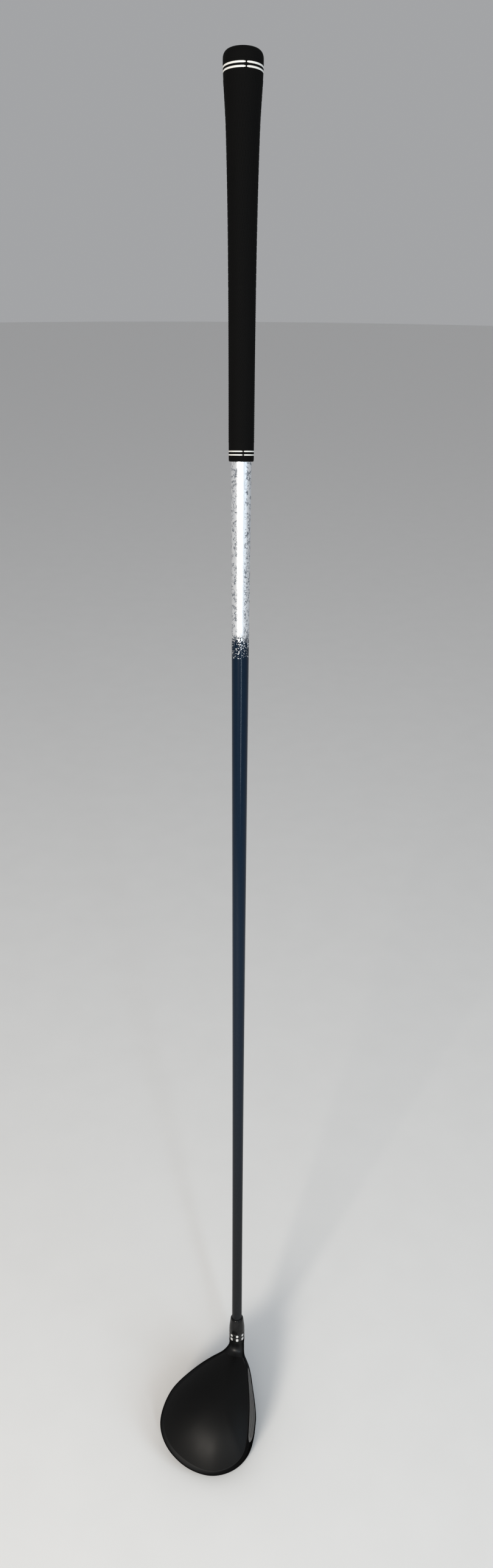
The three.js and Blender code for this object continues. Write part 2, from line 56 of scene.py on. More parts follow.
def axes(origin, up, side):
    """The matrix that puts a piece drawn round +Z, with its +X to the side, where it belongs."""
    up = Vector(up).normalized()
    across = up.cross(Vector(side)).normalized()
    return Matrix.Translation(origin) @ Matrix((across.cross(up), across, up)).transposed().to_4x4()


front = Vector((1, 0, 0))
up_shaft = Vector(joints["adapter_pull"]["axis"]).normalized()
ring_middle = Vector(joints["lower_ring_turn"]["pos_m"])
head_up = -Vector(mounts["sole_rest"]["axis"])
to_ground = (Vector(mounts["sole_rest"]["pos_m"]) - ring_middle).dot(head_up) / up_shaft.dot(head_up)
shaft_foot = ring_middle + up_shaft * to_ground
shaft_axes = axes(shaft_foot, up_shaft, front)
head_axes = axes(shaft_foot, head_up, front)


def points_in(node, place):
    """The corners of a node of the frame, in the axes of place."""
    mesh = frame["nodes"][node].data
    flat = np.empty(len(mesh.vertices) * 3)
    mesh.vertices.foreach_get("co", flat)
    back = np.array(place.inverted())
    return flat.reshape(-1, 3) @ back[:3, :3].T + back[:3, 3]


def span(node, place=shaft_axes):
    """Lowest and highest point of a turned node along its axis, and its smallest and largest radius."""
    points = points_in(node, place)
    radii = np.hypot(points[:, 0], points[:, 1])
    return points[:, 2].min(), points[:, 2].max(), radii.min(), radii.max()


# ---- Finishes ----
# Each finish is a node material. A Paint adds nodes and hands back Signals, on which plain
# arithmetic adds Math nodes.


class Signal:
    """A socket's value on its way through a material."""

    def __init__(self, paint, socket):
        self.paint = paint
        self.socket = socket

    def maths(self, operation, first, second):
        return self.paint.node("ShaderNodeMath", {0: first, 1: second}, operation=operation)

    def __add__(self, other):
        return self.maths("ADD", self, other)

    def __sub__(self, other):
        return self.maths("SUBTRACT", self, other)

    def __rsub__(self, other):
        return self.maths("SUBTRACT", other, self)

    def __mul__(self, other):
        return self.maths("MULTIPLY", self, other)

    def __truediv__(self, other):
        return self.maths("DIVIDE", self, other)

    def __lt__(self, other):
        return self.maths("LESS_THAN", self, other)

    def __gt__(self, other):
        return self.maths("GREATER_THAN", self, other)

    def __abs__(self):
        return self.maths("ABSOLUTE", self, 0.0)

    __radd__ = __add__
    __rmul__ = __mul__


class Paint:
    """A material under construction. Values that are the same all over go on its shader."""

    def __init__(self, name, **fixed):
        self.material = bpy.data.materials.new(name)
        self.material.use_nodes = True
        self.nodes = self.material.node_tree.nodes
        self.shader = Signal(self, self.nodes["Principled BSDF"])
        for key, value in fixed.items():
            self.nodes["Principled BSDF"].inputs[key.replace("_", " ").title().replace("Ior", "IOR")].default_value = value

    def node(self, kind, inputs=None, output=0, stops=None, **settings):
        """Adds a node: settings first, then the values or links of its sockets."""
        node = self.nodes.new(kind)
        for key, value in settings.items():
            setattr(node, key, value)
        if stops:
            while len(node.color_ramp.elements) < len(stops):
                node.color_ramp.elements.new(1.0)
            for element, (position, colour) in zip(node.color_ramp.elements, stops):
                element.position = position
                element.color = colour
        for key, value in (inputs or {}).items():
            self.feed(node.inputs[key], value)
        return Signal(self, node.outputs[output])

    def feed(self, socket, value):
        if isinstance(value, Signal):
            self.material.node_tree.links.new(value.socket, socket)
        else:
            socket.default_value = value

    def surface(self, **signals):
        """Links what varies to the shader's sockets."""
        for key, value in signals.items():
            self.feed(self.nodes["Principled BSDF"].inputs[key.replace("_", " ").title()], value)
        return self.material

    def place(self):
        return self.node("ShaderNodeTexCoord", output="Object")

    def wrap(self):
        """Turns round the piece and metres along it, from its UV map."""
        map_node = self.node("ShaderNodeUVMap", uv_map="wrap")
        parts = self.node("ShaderNodeSeparateXYZ", {"Vector": map_node}, output="X")
        return parts, Signal(self, parts.socket.node.outputs["Y"])

    def noise(self, size, where=None, detail=2.0, stretch=(1, 1, 1), roughness=0.5, distortion=0.0):
        """Cloudy noise whose patches are about this size in metres."""
        where = where or self.place()
        scaled = self.node("ShaderNodeMapping", {"Vector": where, "Scale": stretch})
        values = {"Vector": scaled, "Scale": 1 / size, "Detail": detail, "Roughness": roughness}
        values["Distortion"] = distortion
        return self.node("ShaderNodeTexNoise", values, output="Fac")

    def ramp(self, value, low, high, start=0.0, end=1.0):
        """Value eased from start at low to end at high."""
        values = {"Value": value, "From Min": low, "From Max": high, "To Min": start, "To Max": end}
        return self.node("ShaderNodeMapRange", values, interpolation_type="SMOOTHSTEP")

    def blend(self, share, first, second):
        """A colour between two, by share."""
        return self.node("ShaderNodeMix", {0: share, 6: first, 7: second}, 2, data_type="RGBA")

    def relief(self, height, depth, under=None):
        """A bumped normal from a height of 0 to 1, with depth in metres."""
        values = {"Height": height, "Distance": depth, "Strength": 1.0}
        if under:
            values["Normal"] = under
        return self.node("ShaderNodeBump", values, output="Normal")


def grey(level, warmth=0.0):
    return (level * (1 + warmth), level, level * (1 - warmth), 1.0)


# ---- Meshes ----
# Turned pieces, prisms and skins are drawn in their own axes and then moved into the frame's.


def mesh_object(name, points, faces, place=None):
    mesh = bpy.data.meshes.new(name)
    mesh.from_pydata([tuple(point) for point in points], [], faces)
    if place is not None:
        mesh.transform(place)
    piece = bpy.data.objects.new(name, mesh)
    bpy.context.collection.objects.link(piece)
    return piece


def shade(piece, angle=35):
    """Smooth shading, with edges sharper than the angle kept."""
    mesh = piece.data
    mesh.shade_smooth()
    mesh.set_sharp_from_angle(angle=math.radians(angle))
    return piece


def smooth_through(points, steps, closed=True):
    """Points on a smooth curve through the given ones."""
    points = np.asarray(points, float)
    if not closed:
        first, last = 2 * points[0] - points[1], 2 * points[-1] - points[-2]
        points = np.vstack([first, points, last])
    before, after, beyond = (np.roll(points, shift, 0) for shift in (1, -1, -2))
    gap_in = np.linalg.norm(points - before, axis=1, keepdims=True) ** 0.5
    gap = np.linalg.norm(after - points, axis=1, keepdims=True) ** 0.5
    gap_out = np.linalg.norm(beyond - after, axis=1, keepdims=True) ** 0.5
    chord = (after - points) / gap
    leave = ((points - before) / gap_in - (after - before) / (gap_in + gap) + chord) * gap
    arrive = (chord - (beyond - points) / (gap + gap_out) + (beyond - after) / gap_out) * gap
    t = np.arange(steps)[:, None, None] / steps
    curve = (2 * t**3 - 3 * t**2 + 1) * points + (t**3 - 2 * t**2 + t) * leave
    curve = curve + (3 * t**2 - 2 * t**3) * after + (t**3 - t**2) * arrive
    curve = curve.transpose(1, 0, 2)
    if closed:
        return curve.reshape(-1, points.shape[1])
    return np.vstack([curve[1:-2].reshape(-1, points.shape[1]), points[-2]])


def eased(outline, size, steps=3):
    """An outline with its corners rounded over up to this length."""
    outline = [np.array(point, float) for point in outline]
    on_axis = outline[0][0] < 1e-9 and outline[-1][0] < 1e-9
    result = []
    for i, corner in enumerate(outline):
        if on_axis and i in (0, len(outline) - 1):
            result.append(corner)
            continue
        before, after = outline[i - 1] - corner, outline[(i + 1) % len(outline)] - corner
        long_in, long_out = np.linalg.norm(before), np.linalg.norm(after)
        start = corner + before / long_in * min(size, 0.4 * long_in)
        end = corner + after / long_out * min(size, 0.4 * long_out)
        for t in np.linspace(0, 1, steps + 1):
            result.append((1 - t) ** 2 * start + 2 * t * (1 - t) * corner + t * t * end)
    return result


def turned(name, outline, place=shaft_axes, facets=96, rounding=0.15 * mm):
    """A piece turned round its axis from (radius, height) pairs, with turns and metres as its UVs."""
    if rounding:
        outline = eased(outline, rounding)
    ends_on_axis = outline[0][0] < 1e-9 and outline[-1][0] < 1e-9
    shape = bmesh.new()
    wrap = shape.loops.layers.uv.new("wrap")
    angles = [2 * math.pi * i / facets for i in range(facets)]
    rings = []
    for radius, height in outline:
        if radius < 1e-9:
            rings.append([shape.verts.new((0, 0, height))] * facets)
        else:
            rings.append([shape.verts.new((radius * math.cos(a), radius * math.sin(a), height)) for a in angles])
    pairs = list(zip(rings, rings[1:]))
    if not ends_on_axis:
        pairs.append((rings[-1], rings[0]))
    for low, high in pairs:
        for i in range(facets):
            j = (i + 1) % facets
            corners = [(low[i], i), (low[j], i + 1), (high[j], i + 1), (high[i], i)]
            kept = []
            for vertex, turn in corners:
                if vertex not in [other for other, _ in kept]:
                    kept.append((vertex, turn))
            if len(kept) < 3:
                continue
            face = shape.faces.new([vertex for vertex, _ in kept])
            for loop, (vertex, turn) in zip(face.loops, kept):
                loop[wrap].uv = (turn / facets, vertex.co.z)
    bmesh.ops.recalc_face_normals(shape, faces=shape.faces)
    shape.transform(place)
    mesh = bpy.data.meshes.new(name)
    shape.to_mesh(mesh)
    shape.free()
    piece = bpy.data.objects.new(name, mesh)
    bpy.context.collection.objects.link(piece)
    return shade(piece)


def fit(piece, paint, body, slot, *nodes):
    """Gives a finished piece its finish, and the body and nodes that it stands for. The slot is not used."""
    piece.data.materials.clear()
    piece.data.materials.append(paint)
    if nodes:
        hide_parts(*nodes)
    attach(piece, body)
    return piece


# ---- Shaft ----
# A tapered tube of wound carbon fibre. Its top hand's breadth is wrapped in silver crackle foil
# that frays into dark blue paint, and gloss lacquer over it all thins to satin near the tip.

tip, butt, _, butt_radius = span("shaft")
tip_radius = 4.52 * mm
mouth = span("grip_sleeve")[0]
ferrule_foot, ferrule_top, _, ferrule_radius = span("ferrule")
bare = mouth - ferrule_top
shaft_wall = 1.4 * mm
taper = [(0, 0), (0.182, 0.31), (0.445, 0.64), (0.747, 0.93), (0.908, 1), (0.99, 1)]
taper_curve = smooth_through(taper, 8, closed=False)
shaft_outside = [(butt_radius, butt)]
shaft_outside += [(butt_radius + (tip_radius - butt_radius) * fall, mouth - below * bare) for below, fall in taper_curve]
shaft_outside.append((tip_radius, tip))
shaft_inside = [(radius - shaft_wall, height) for radius, height in reversed(shaft_outside)]
shaft_piece = turned("shaft_tube", shaft_outside + shaft_inside, rounding=0)

foil_length = 124 * mm
speck_length = 145 * mm

paint = Paint("shaft_lacquer", coat_roughness=0.1, coat_ior=1.5, specular_ior_level=0.1)
around, height = paint.wrap()
below = mouth - height
curl = paint.noise(3.2 * mm, detail=1.5, distortion=1.6, stretch=(1, 1, 0.7))
curl_line = 1 - paint.ramp(abs(curl - 0.5), 0.03, 0.06)
torn = paint.ramp(paint.noise(3.4 * mm, detail=1.0), 0.42, 0.5)
# The squiggles are left out where the shaft faces the camera and where it faces away. This is a painted highlight that
# leaves the foil plain there, though the real foil carries them all round.
side_cosine_for_painted_highlight = paint.node("ShaderNodeMath", {0: around * (2 * math.pi)}, operation="COSINE")
squiggles_with_painted_highlight_gap = curl_line * torn * paint.ramp(abs(side_cosine_for_painted_highlight), 0.25, 0.5)
fray = below + (paint.noise(5 * mm, detail=3.0) - 0.5) * (5 * mm)
under_foil = paint.ramp(fray, foil_length, foil_length + 8 * mm)
speck_noise = paint.noise(1.1 * mm, detail=0.5, distortion=0.8)
speck_limit = paint.ramp(below, foil_length, speck_length, 0.48, 0.66)
specks = paint.ramp(speck_noise - speck_limit, 0.0, 0.02) * (below < speck_length)
foil_share = paint.node("ShaderNodeMath", {0: 1 - under_foil, 1: specks}, operation="MAXIMUM")
satin = paint.ramp(below, 0.45 * bare, 0.95 * bare)
fibre = paint.noise(0.5 * mm, stretch=(1, 1, 0.04), detail=2.0)
silver = paint.blend(paint.noise(3 * mm, detail=2.0), (0.8, 0.8, 0.81, 1), (0.66, 0.69, 0.73, 1))
silver = paint.blend(squiggles_with_painted_highlight_gap, silver, (0.2, 0.22, 0.25, 1))
navy = paint.blend(fibre, (0.0015, 0.008, 0.019, 1), (0.003, 0.013, 0.03, 1))
charcoal = paint.blend(fibre, (0.007, 0.008, 0.009, 1), (0.016, 0.017, 0.019, 1))
dark = paint.blend(satin, navy, charcoal)
crumple = paint.node("ShaderNodeTexVoronoi", {"Vector": paint.place(), "Scale": 1 / (1.3 * mm)}, "Distance")
shaft_lacquer = paint.surface(
    base_color=paint.blend(foil_share, dark, silver),
    metallic=foil_share * 0.55,
    roughness=paint.ramp(foil_share, 0, 1, 0.2, 0.34) + satin * 0.22 + fibre * 0.04,
    coat_weight=0.22 - satin * 0.18,
    normal=paint.relief(crumple * foil_share, 0.03 * mm),
)
fit(shaft_piece, shaft_lacquer, "shaft_assembly", "shaft_paint", "shaft")

# ---- Tip plug and grip tape ----
# A rubber plug stops glue from running up the bore. Double-sided tape is wound round the butt under
# the grip. Both show only when the club is apart.

plug_low, plug_high, _, plug_radius = span("shaft_tip_plug")
plug_outline = [(0, plug_low), (plug_radius, plug_low), (plug_radius, plug_high), (0, plug_high)]
for share in (0.75, 0.5, 0.25):
    middle = plug_low + (plug_high - plug_low) * share
    groove = [(plug_radius, middle - 0.5 * mm), (plug_radius - 0.35 * mm, middle), (plug_radius, middle + 0.5 * mm)]
    plug_outline[2:2] = groove
tip_plug = turned("tip_plug_rubber", plug_outline, facets=48, rounding=0.12 * mm)

paint = Paint("plug_rubber", specular_ior_level=0.35)
grain = paint.noise(0.4 * mm, detail=3.0)
plug_rubber = paint.surface(
    base_color=paint.blend(grain, grey(0.02), grey(0.045)),
    roughness=paint.ramp(grain, 0.2, 0.8, 0.6, 0.85),
    normal=paint.relief(grain, 0.05 * mm),
)
fit(tip_plug, plug_rubber, "shaft_assembly", "neck_plastic", "shaft_tip_plug")

tape_low, tape_high, tape_inner, tape_outer = span("grip_tape")
tape_outline = [(tape_inner, tape_low), (tape_outer, tape_low), (tape_outer, tape_high), (tape_inner, tape_high)]
tape = turned("grip_tape_roll", tape_outline, rounding=0.08 * mm)

paint = Paint("tape_paper", specular_ior_level=0.25)
around, height = paint.wrap()
lap = paint.node("ShaderNodeMath", {0: around + height / (22 * mm), 1: 1.0}, operation="FRACT")
crepe = paint.noise(0.6 * mm, stretch=(1, 1, 0.35), detail=3.0)
edge = paint.ramp(lap, 0.0, 0.04, 1.0, 0.0)
tape_paper = paint.surface(
    base_color=paint.blend(crepe * 0.7 + edge * 0.3, (0.66, 0.6, 0.47, 1), (0.46, 0.4, 0.29, 1)),
    roughness=paint.ramp(crepe, 0.3, 0.7, 0.75, 0.9),
    normal=paint.relief(crepe + edge, 0.06 * mm),
)
fit(tape, tape_paper, "shaft_assembly", "tape", "grip_tape")

# ---- Grip ----
# Moulded rubber, swelling towards the butt, slid over the tape. Shallow raised dashes cover it for
# hold, and two pairs of painted rings lie in grooves near its ends, each broken at the front.

grip_length = span("grip_end_cap")[1] - mouth
grip_bore, grip_rim = span("grip_sleeve")[2:]
sleeve_top = span("grip_end_cap")[0] + 6 * mm - 0.05 * mm
swell = [(0.005, 1.0), (0.06, 1.03), (0.248, 1.18), (0.397, 1.4), (0.542, 1.75), (0.687, 2.4)]
swell += [(0.824, 3.38), (0.878, 4.15), (0.93, 5.05), (0.959, 5.4), (0.969, 5.45)]
swell_curve = smooth_through(swell, 10, closed=False)
ring_spots = [4.7 * mm, 7.2 * mm, 248.7 * mm, 251.3 * mm]
ring_widths = [0.95 * mm, 0.95 * mm, 1.25 * mm, 1.25 * mm]
groove_depth = 0.25 * mm


def grip_radius(above):
    """The grip's radius at a height above its mouth."""
    return grip_bore + np.interp(above / grip_length, swell_curve[:, 0], swell_curve[:, 1]) * mm


stations = list(np.arange(2.2 * mm, sleeve_top - mouth - 0.4 * mm, 1.5 * mm))
for spot, width in zip(ring_spots, ring_widths):
    stations = [above for above in stations if abs(above - spot) > width / 2 + 0.3 * mm]
    stations += [spot - width / 2 - 0.06 * mm, spot - width / 2, spot + width / 2, spot + width / 2 + 0.06 * mm]
sleeve_outline = [(grip_bore, mouth), (grip_radius(0) - 0.7 * mm, mouth)]
sleeve_outline += [(grip_radius(0) - 0.25 * mm, mouth + 0.25 * mm), (grip_radius(0) - 0.04 * mm, mouth + 0.9 * mm)]
for above in sorted(stations):
    in_groove = any(abs(above - spot) < width / 2 + 0.01 * mm for spot, width in zip(ring_spots, ring_widths))
    sleeve_outline.append((grip_radius(above) - groove_depth * in_groove, mouth + above))
pocket = span("grip_end_cap")[0] + 0.3 * mm
spigot_room = 10.15 * mm
sleeve_outline += [(grip_rim, sleeve_top), (spigot_room, sleeve_top), (spigot_room, pocket - 0.6 * mm)]
sleeve_outline.append((grip_bore, pocket - 0.6 * mm))
grip_sleeve = turned("grip_rubber_sleeve", sleeve_outline, facets=128, rounding=0)

paint = Paint("moulded_rubber", specular_ior_level=0.05)
around, height = paint.wrap()
pores = paint.noise(0.35 * mm, detail=4.0, roughness=0.7)
smear = paint.noise(18 * mm, detail=3.0, stretch=(1, 1, 0.3))
ribs = paint.node("ShaderNodeMath", {0: around * (2 * math.pi * 60)}, operation="SINE")
rib_field = paint.ramp(height, mouth + 20 * mm, mouth + 40 * mm) * paint.ramp(height, mouth + 236 * mm, mouth + 222 * mm)
moulded_rubber = paint.surface(
    base_color=paint.blend(pores * 0.45 + smear * 0.55, grey(0.001), grey(0.006, 0.02)),
    roughness=paint.ramp(pores * 0.5 + smear * 0.5, 0.25, 0.75, 0.62, 0.88),
    normal=paint.relief(pores * 0.5 + ribs * rib_field * 0.12, 0.14 * mm),
)
fit(grip_sleeve, moulded_rubber, "shaft_assembly", "grip_rubber", "grip_sleeve")


def stud_mesh(name, length, width, height):
    """A low raised dash with sloping sides, lying along +X on the ground plane."""
    foot, top = (length / 2, width / 2), (length / 2 - width * 0.4, width * 0.22)
    points = []
    for x, y, z in ((*foot, -0.4 * height), (*top, height)):
        points += [(x, -y, z), (x, y, z), (-x, y, z), (-x, -y, z)]
    faces = [(3, 2, 1, 0), (4, 5, 6, 7)] + [(i, (i + 1) % 4, (i + 1) % 4 + 4, i + 4) for i in range(4)]
    return mesh_object(name, points, faces)


def scatter_tree():
    """Sets a copy of one shape on every vertex, standing on the surface and lying up the shaft."""
    tree = bpy.data.node_groups.new("dashes_on_rubber", "GeometryNodeTree")
    tree.interface.new_socket("Surface", in_out="INPUT", socket_type="NodeSocketGeometry")
    tree.interface.new_socket("Shape", in_out="INPUT", socket_type="NodeSocketObject")
    tree.interface.new_socket("Way", in_out="INPUT", socket_type="NodeSocketVector")
    tree.interface.new_socket("Finish", in_out="INPUT", socket_type="NodeSocketMaterial")
    tree.interface.new_socket("Dashes", in_out="OUTPUT", socket_type="NodeSocketGeometry")
    kinds = ["NodeGroupInput", "GeometryNodeInputNormal", "FunctionNodeAlignRotationToVector"]
    kinds += ["FunctionNodeAlignRotationToVector", "GeometryNodeObjectInfo", "GeometryNodeInstanceOnPoints"]
    kinds += ["GeometryNodeRealizeInstances", "GeometryNodeSetMaterial", "NodeGroupOutput"]
    given, normal, stand, lie, shape, put, real, finish, out = (tree.nodes.new(kind) for kind in kinds)
    stand.axis = "Z"
    lie.axis = "X"
    lie.pivot_axis = "Z"
    link = tree.links.new
    link(normal.outputs["Normal"], stand.inputs["Vector"])
    link(stand.outputs["Rotation"], lie.inputs["Rotation"])
    link(given.outputs["Way"], lie.inputs["Vector"])
    link(given.outputs["Shape"], shape.inputs["Object"])
    link(given.outputs["Surface"], put.inputs["Points"])
    link(shape.outputs["Geometry"], put.inputs["Instance"])
    link(lie.outputs["Rotation"], put.inputs["Rotation"])
    link(put.outputs["Instances"], real.inputs["Geometry"])
    link(real.outputs["Geometry"], finish.inputs["Geometry"])
    link(given.outputs["Finish"], finish.inputs["Material"])
    link(finish.outputs["Geometry"], out.inputs["Dashes"])
    return tree


def grown(piece, tree, **values):
    """Runs a node tree on a piece and keeps the plain mesh that it makes."""
    modifier = piece.modifiers.new("grow", "NODES")
    modifier.node_group = tree
    for item in tree.interface.items_tree:
        if item.in_out == "INPUT" and item.name in values:
            modifier[item.identifier] = values[item.name]
    bpy.context.view_layer.update()
    mesh = bpy.data.meshes.new_from_object(piece.evaluated_get(bpy.context.evaluated_depsgraph_get()))
    piece.modifiers.remove(modifier)
    piece.data = mesh
    return piece


def dash_field(name, low, high, row_gap, columns, length, width, rise):
    """Staggered rows of dashes round the grip between two heights above the mouth."""
    rows = np.arange(low, high, row_gap)
    points, faces = [], []
    for row, above in enumerate(rows):
        shift = 0.5 * (row % 2)
        for column in range(columns):
            angle = 2 * math.pi * (column + shift) / columns
            radius = grip_radius(above)
            points.append((radius * math.cos(angle), radius * math.sin(angle), mouth + above))
    for row in range(len(rows) - 1):
        for column in range(columns):
            beside = (column + 1) % columns
            low_row, high_row = row * columns, (row + 1) * columns
            faces.append((low_row + column, low_row + beside, high_row + beside, high_row + column))
    field = mesh_object(name, points, faces, shaft_axes)
    shape = stud_mesh(name + "_shape", length, width, rise)
    grown(field, dash_tree, Shape=shape, Way=tuple(up_shaft), Finish=moulded_rubber)
    bpy.data.objects.remove(shape)
    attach(field, "shaft_assembly")
    return field


dash_tree = scatter_tree()
dash_field("grip_short_dashes", 14 * mm, 116 * mm, 1.5 * mm, 36, 1.35 * mm, 0.55 * mm, 0.1 * mm)
dash_field("grip_long_dashes", 119 * mm, 243 * mm, 4.4 * mm, 40, 3.9 * mm, 0.6 * mm, 0.1 * mm)

# The painted rings: bands with rounded edges and ends that fill their grooves.

paint = Paint("ring_paint", specular_ior_level=0.4)
chalk = paint.noise(0.7 * mm, detail=4.0)
ring_paint = paint.surface(
    base_color=paint.blend(chalk, (0.9, 0.89, 0.85, 1), (0.76, 0.75, 0.7, 1)),
    roughness=paint.ramp(chalk, 0.3, 0.7, 0.42, 0.6),
    normal=paint.relief(chalk, 0.03 * mm),
)


def painted_ring(name, spot, width):
    """A band round the grip with a small break at the front."""
    radius = grip_radius(spot)
    gap = 1.0 * mm / radius
    middle = math.radians(-90 + 9)
    turns = np.linspace(middle + gap / 2, middle + 2 * math.pi - gap / 2, 121)
    rise = 0.05 * mm
    section = [(-0.5, -1), (0.5, -1), (0.5, 0.3), (0.36, 0.85), (0.12, 1), (-0.12, 1), (-0.36, 0.85), (-0.5, 0.3)]
    points, faces = [], []
    for step, turn in enumerate(turns):
        ends = min(step, len(turns) - 1 - step)
        narrow = (0.55, 0.88, 1.0)[min(ends, 2)]
        for across, out in section:
            reach = radius - groove_depth + 0.02 * mm if out < 0 else radius - 0.15 * mm + (0.15 * mm + rise) * out
            points.append((reach * math.cos(turn), reach * math.sin(turn), mouth + spot + across * narrow * width * 0.97))
    count = len(section)
    for step in range(len(turns) - 1):
        for i in range(count):
            j = (i + 1) % count
            a, b = step * count, (step + 1) * count
            faces.append((a + j, a + i, b + i, b + j))
    faces.append(tuple(range(count)))
    faces.append(tuple(reversed(range(len(points) - count, len(points)))))
    band = mesh_object(name, points, faces, shaft_axes)
    shape = bmesh.new()
    shape.from_mesh(band.data)
    bmesh.ops.recalc_face_normals(shape, faces=shape.faces)
    shape.to_mesh(band.data)
    shape.free()
    return fit(shade(band, 50), ring_paint, "shaft_assembly", "grip_lines")


for number, (spot, width) in enumerate(zip(ring_spots, ring_widths)):
    painted_ring(f"grip_ring_{number + 1}", spot, width)

# ---- Grip end cap ----
# The closed end of the grip, a low dome with a flat land round the hole that lets air out as the
# grip is slid on. Its spigot plugs the end of the sleeve.

cap_low, cap_high, vent_radius, cap_radius = span("grip_end_cap")
cap_seat = cap_low + 6 * mm
cap_height = cap_high - cap_seat
flat_radius = 6 * mm
dome = []
for turn in np.linspace(0, math.pi / 2, 18):
    radius = flat_radius + (grip_rim - flat_radius) * math.cos(turn) ** 0.62
    dome.append((radius, cap_seat + cap_height * (0.3 + 0.7 * math.sin(turn) ** 0.9)))
cap_outline = [(vent_radius, cap_low), (10 * mm, cap_low), (10 * mm, cap_seat), (grip_rim, cap_seat)]
cap_outline += dome
for radius, sink in ((4.7, 0), (4.5, 0.15), (4.3, 0.15), (4.1, 0), (2.2, 0), (1.7, 0.12)):
    cap_outline.append((radius * mm, cap_high - sink * mm))
cap_outline.append((vent_radius, cap_high - 0.5 * mm))
end_cap = turned("grip_cap_rubber", cap_outline, facets=128, rounding=0)
fit(end_cap, moulded_rubber, "shaft_assembly", "grip_rubber", "grip_end_cap")

# ---- Ferrule ----
# A smooth black plastic collar that hides the top of the adapter and carries the line of the neck
# up to the shaft, with a rounded shoulder and a barrel taper.

shoulder = ferrule_radius - 1.45 * mm
ferrule_reach = ferrule_top - ferrule_foot
profile = [(1, 0), (0.995, 0.1), (0.985, 0.25), (0.955, 0.42), (0.915, 0.58), (0.875, 0.73), (0.845, 0.84)]
profile += [(0.825, 0.91), (0.79, 0.955), (0.735, 0.985), (0.68, 1)]
outside = smooth_through([(r * ferrule_radius, ferrule_foot + t * ferrule_reach) for r, t in profile], 4, closed=False)
tip_bore = tip_radius + 0.15 * mm
adapter_low, adapter_top, _, _ = span("adapter_sleeve")
neck_bore = 6.02 * mm
ferrule_outline = [(neck_bore, ferrule_foot)] + [tuple(point) for point in outside]
ferrule_outline += [(tip_bore, ferrule_top), (tip_bore, adapter_top + 0.3 * mm)]
ferrule_outline += [(5.42 * mm, adapter_top + 0.3 * mm), (5.42 * mm, ferrule_foot + 0.6 * mm), (neck_bore, ferrule_foot + 0.3 * mm)]
ferrule = turned("ferrule_collar", ferrule_outline, facets=96, rounding=0)

paint = Paint("black_plastic", specular_ior_level=0.12, coat_roughness=0.1)
swirl = paint.noise(0.35 * mm, stretch=(1, 1, 6), detail=3.0)
haze = paint.noise(4 * mm, detail=3.0)
black_plastic = paint.surface(
    base_color=paint.blend(haze, grey(0.003), grey(0.007)),
    roughness=paint.ramp(swirl * 0.5 + haze * 0.5, 0.3, 0.7, 0.16, 0.3),
    coat_weight=paint.ramp(haze, 0.3, 0.7, 0.15, 0.3),
    normal=paint.relief(swirl, 0.001 * mm),
)
fit(ferrule, black_plastic, "shaft_assembly", "neck_plastic", "ferrule")

# ---- Adapter ----
# An aluminium sleeve glued on the shaft's tip and black anodised. Its wide foot drops into the
# neck's bore and is threaded inside for the bolt, and the two index rings turn on its waist.

neck_top = span("lower_index_ring")[0] - 0.3 * mm
foot_radius = span("adapter_sleeve")[3]
waist_radius = foot_radius - 0.2 * mm
bolt_hole = 2.65 * mm
adapter_outline = [(bolt_hole, adapter_low), (foot_radius - 0.5 * mm, adapter_low), (foot_radius, adapter_low + 0.5 * mm)]
for height in np.linspace(adapter_low + 3 * mm, neck_top - 4 * mm, 4):
    adapter_outline += [(foot_radius, height), (foot_radius - 0.22 * mm, height + 0.25 * mm)]
    adapter_outline += [(foot_radius - 0.22 * mm, height + 0.75 * mm), (foot_radius, height + 1 * mm)]
adapter_outline += [(foot_radius, neck_top), (waist_radius, neck_top), (waist_radius, ferrule_foot)]
adapter_outline += [(5.27 * mm, ferrule_foot + 0.3 * mm), (5.27 * mm, adapter_top), (tip_bore, adapter_top)]
adapter_outline += [(tip_bore, tip - 0.3 * mm), (bolt_hole, tip - 0.3 * mm)]
adapter = turned("adapter_alloy_sleeve", adapter_outline, rounding=0.08 * mm)


def lathe_finish(name, dark_tone, pale_tone, rough_low, rough_high, metal, depth):
    """Turned metal: fine rings round the piece, a little cloudiness and tiny scratches."""
    paint = Paint(name, specular_ior_level=0.5)
    around, height = paint.wrap()
    rings = paint.noise(0.12 * mm, where=paint.node("ShaderNodeCombineXYZ", {"X": height}), detail=3.0)
    cloud = paint.noise(3 * mm, detail=3.0)
    scratch = paint.ramp(paint.noise(0.25 * mm, stretch=(1, 0.15, 1), detail=2.0), 0.62, 0.7)
    return paint.surface(
        base_color=paint.blend(cloud * 0.6 + scratch * 0.4, dark_tone, pale_tone),
        roughness=paint.ramp(rings * 0.6 + cloud * 0.4, 0.3, 0.7, rough_low, rough_high),
        metallic=paint.ramp(cloud, 0.0, 1.0, metal - 0.05, metal),
        normal=paint.relief(rings, depth),
    )


anodised_alloy = lathe_finish("anodised_alloy", grey(0.006), grey(0.02), 0.28, 0.42, 0.4, 0.004 * mm)
fit(adapter, anodised_alloy, "shaft_assembly", "adapter_alloy", "adapter_sleeve")

# ---- Index rings ----
# Two black anodised rings that turn to set loft and lie. Eight white marks filled with paint go
# round each, rounder on the upper ring and squarer on the lower.

paint = Paint("mark_paint", specular_ior_level=0.4)
chalk = paint.noise(0.5 * mm, detail=4.0)
mark_paint = paint.surface(
    base_color=paint.blend(chalk, (0.66, 0.66, 0.65, 1), (0.54, 0.54, 0.53, 1)),
    roughness=paint.ramp(chalk, 0.3, 0.7, 0.35, 0.5),
    normal=paint.relief(chalk, 0.02 * mm),
)


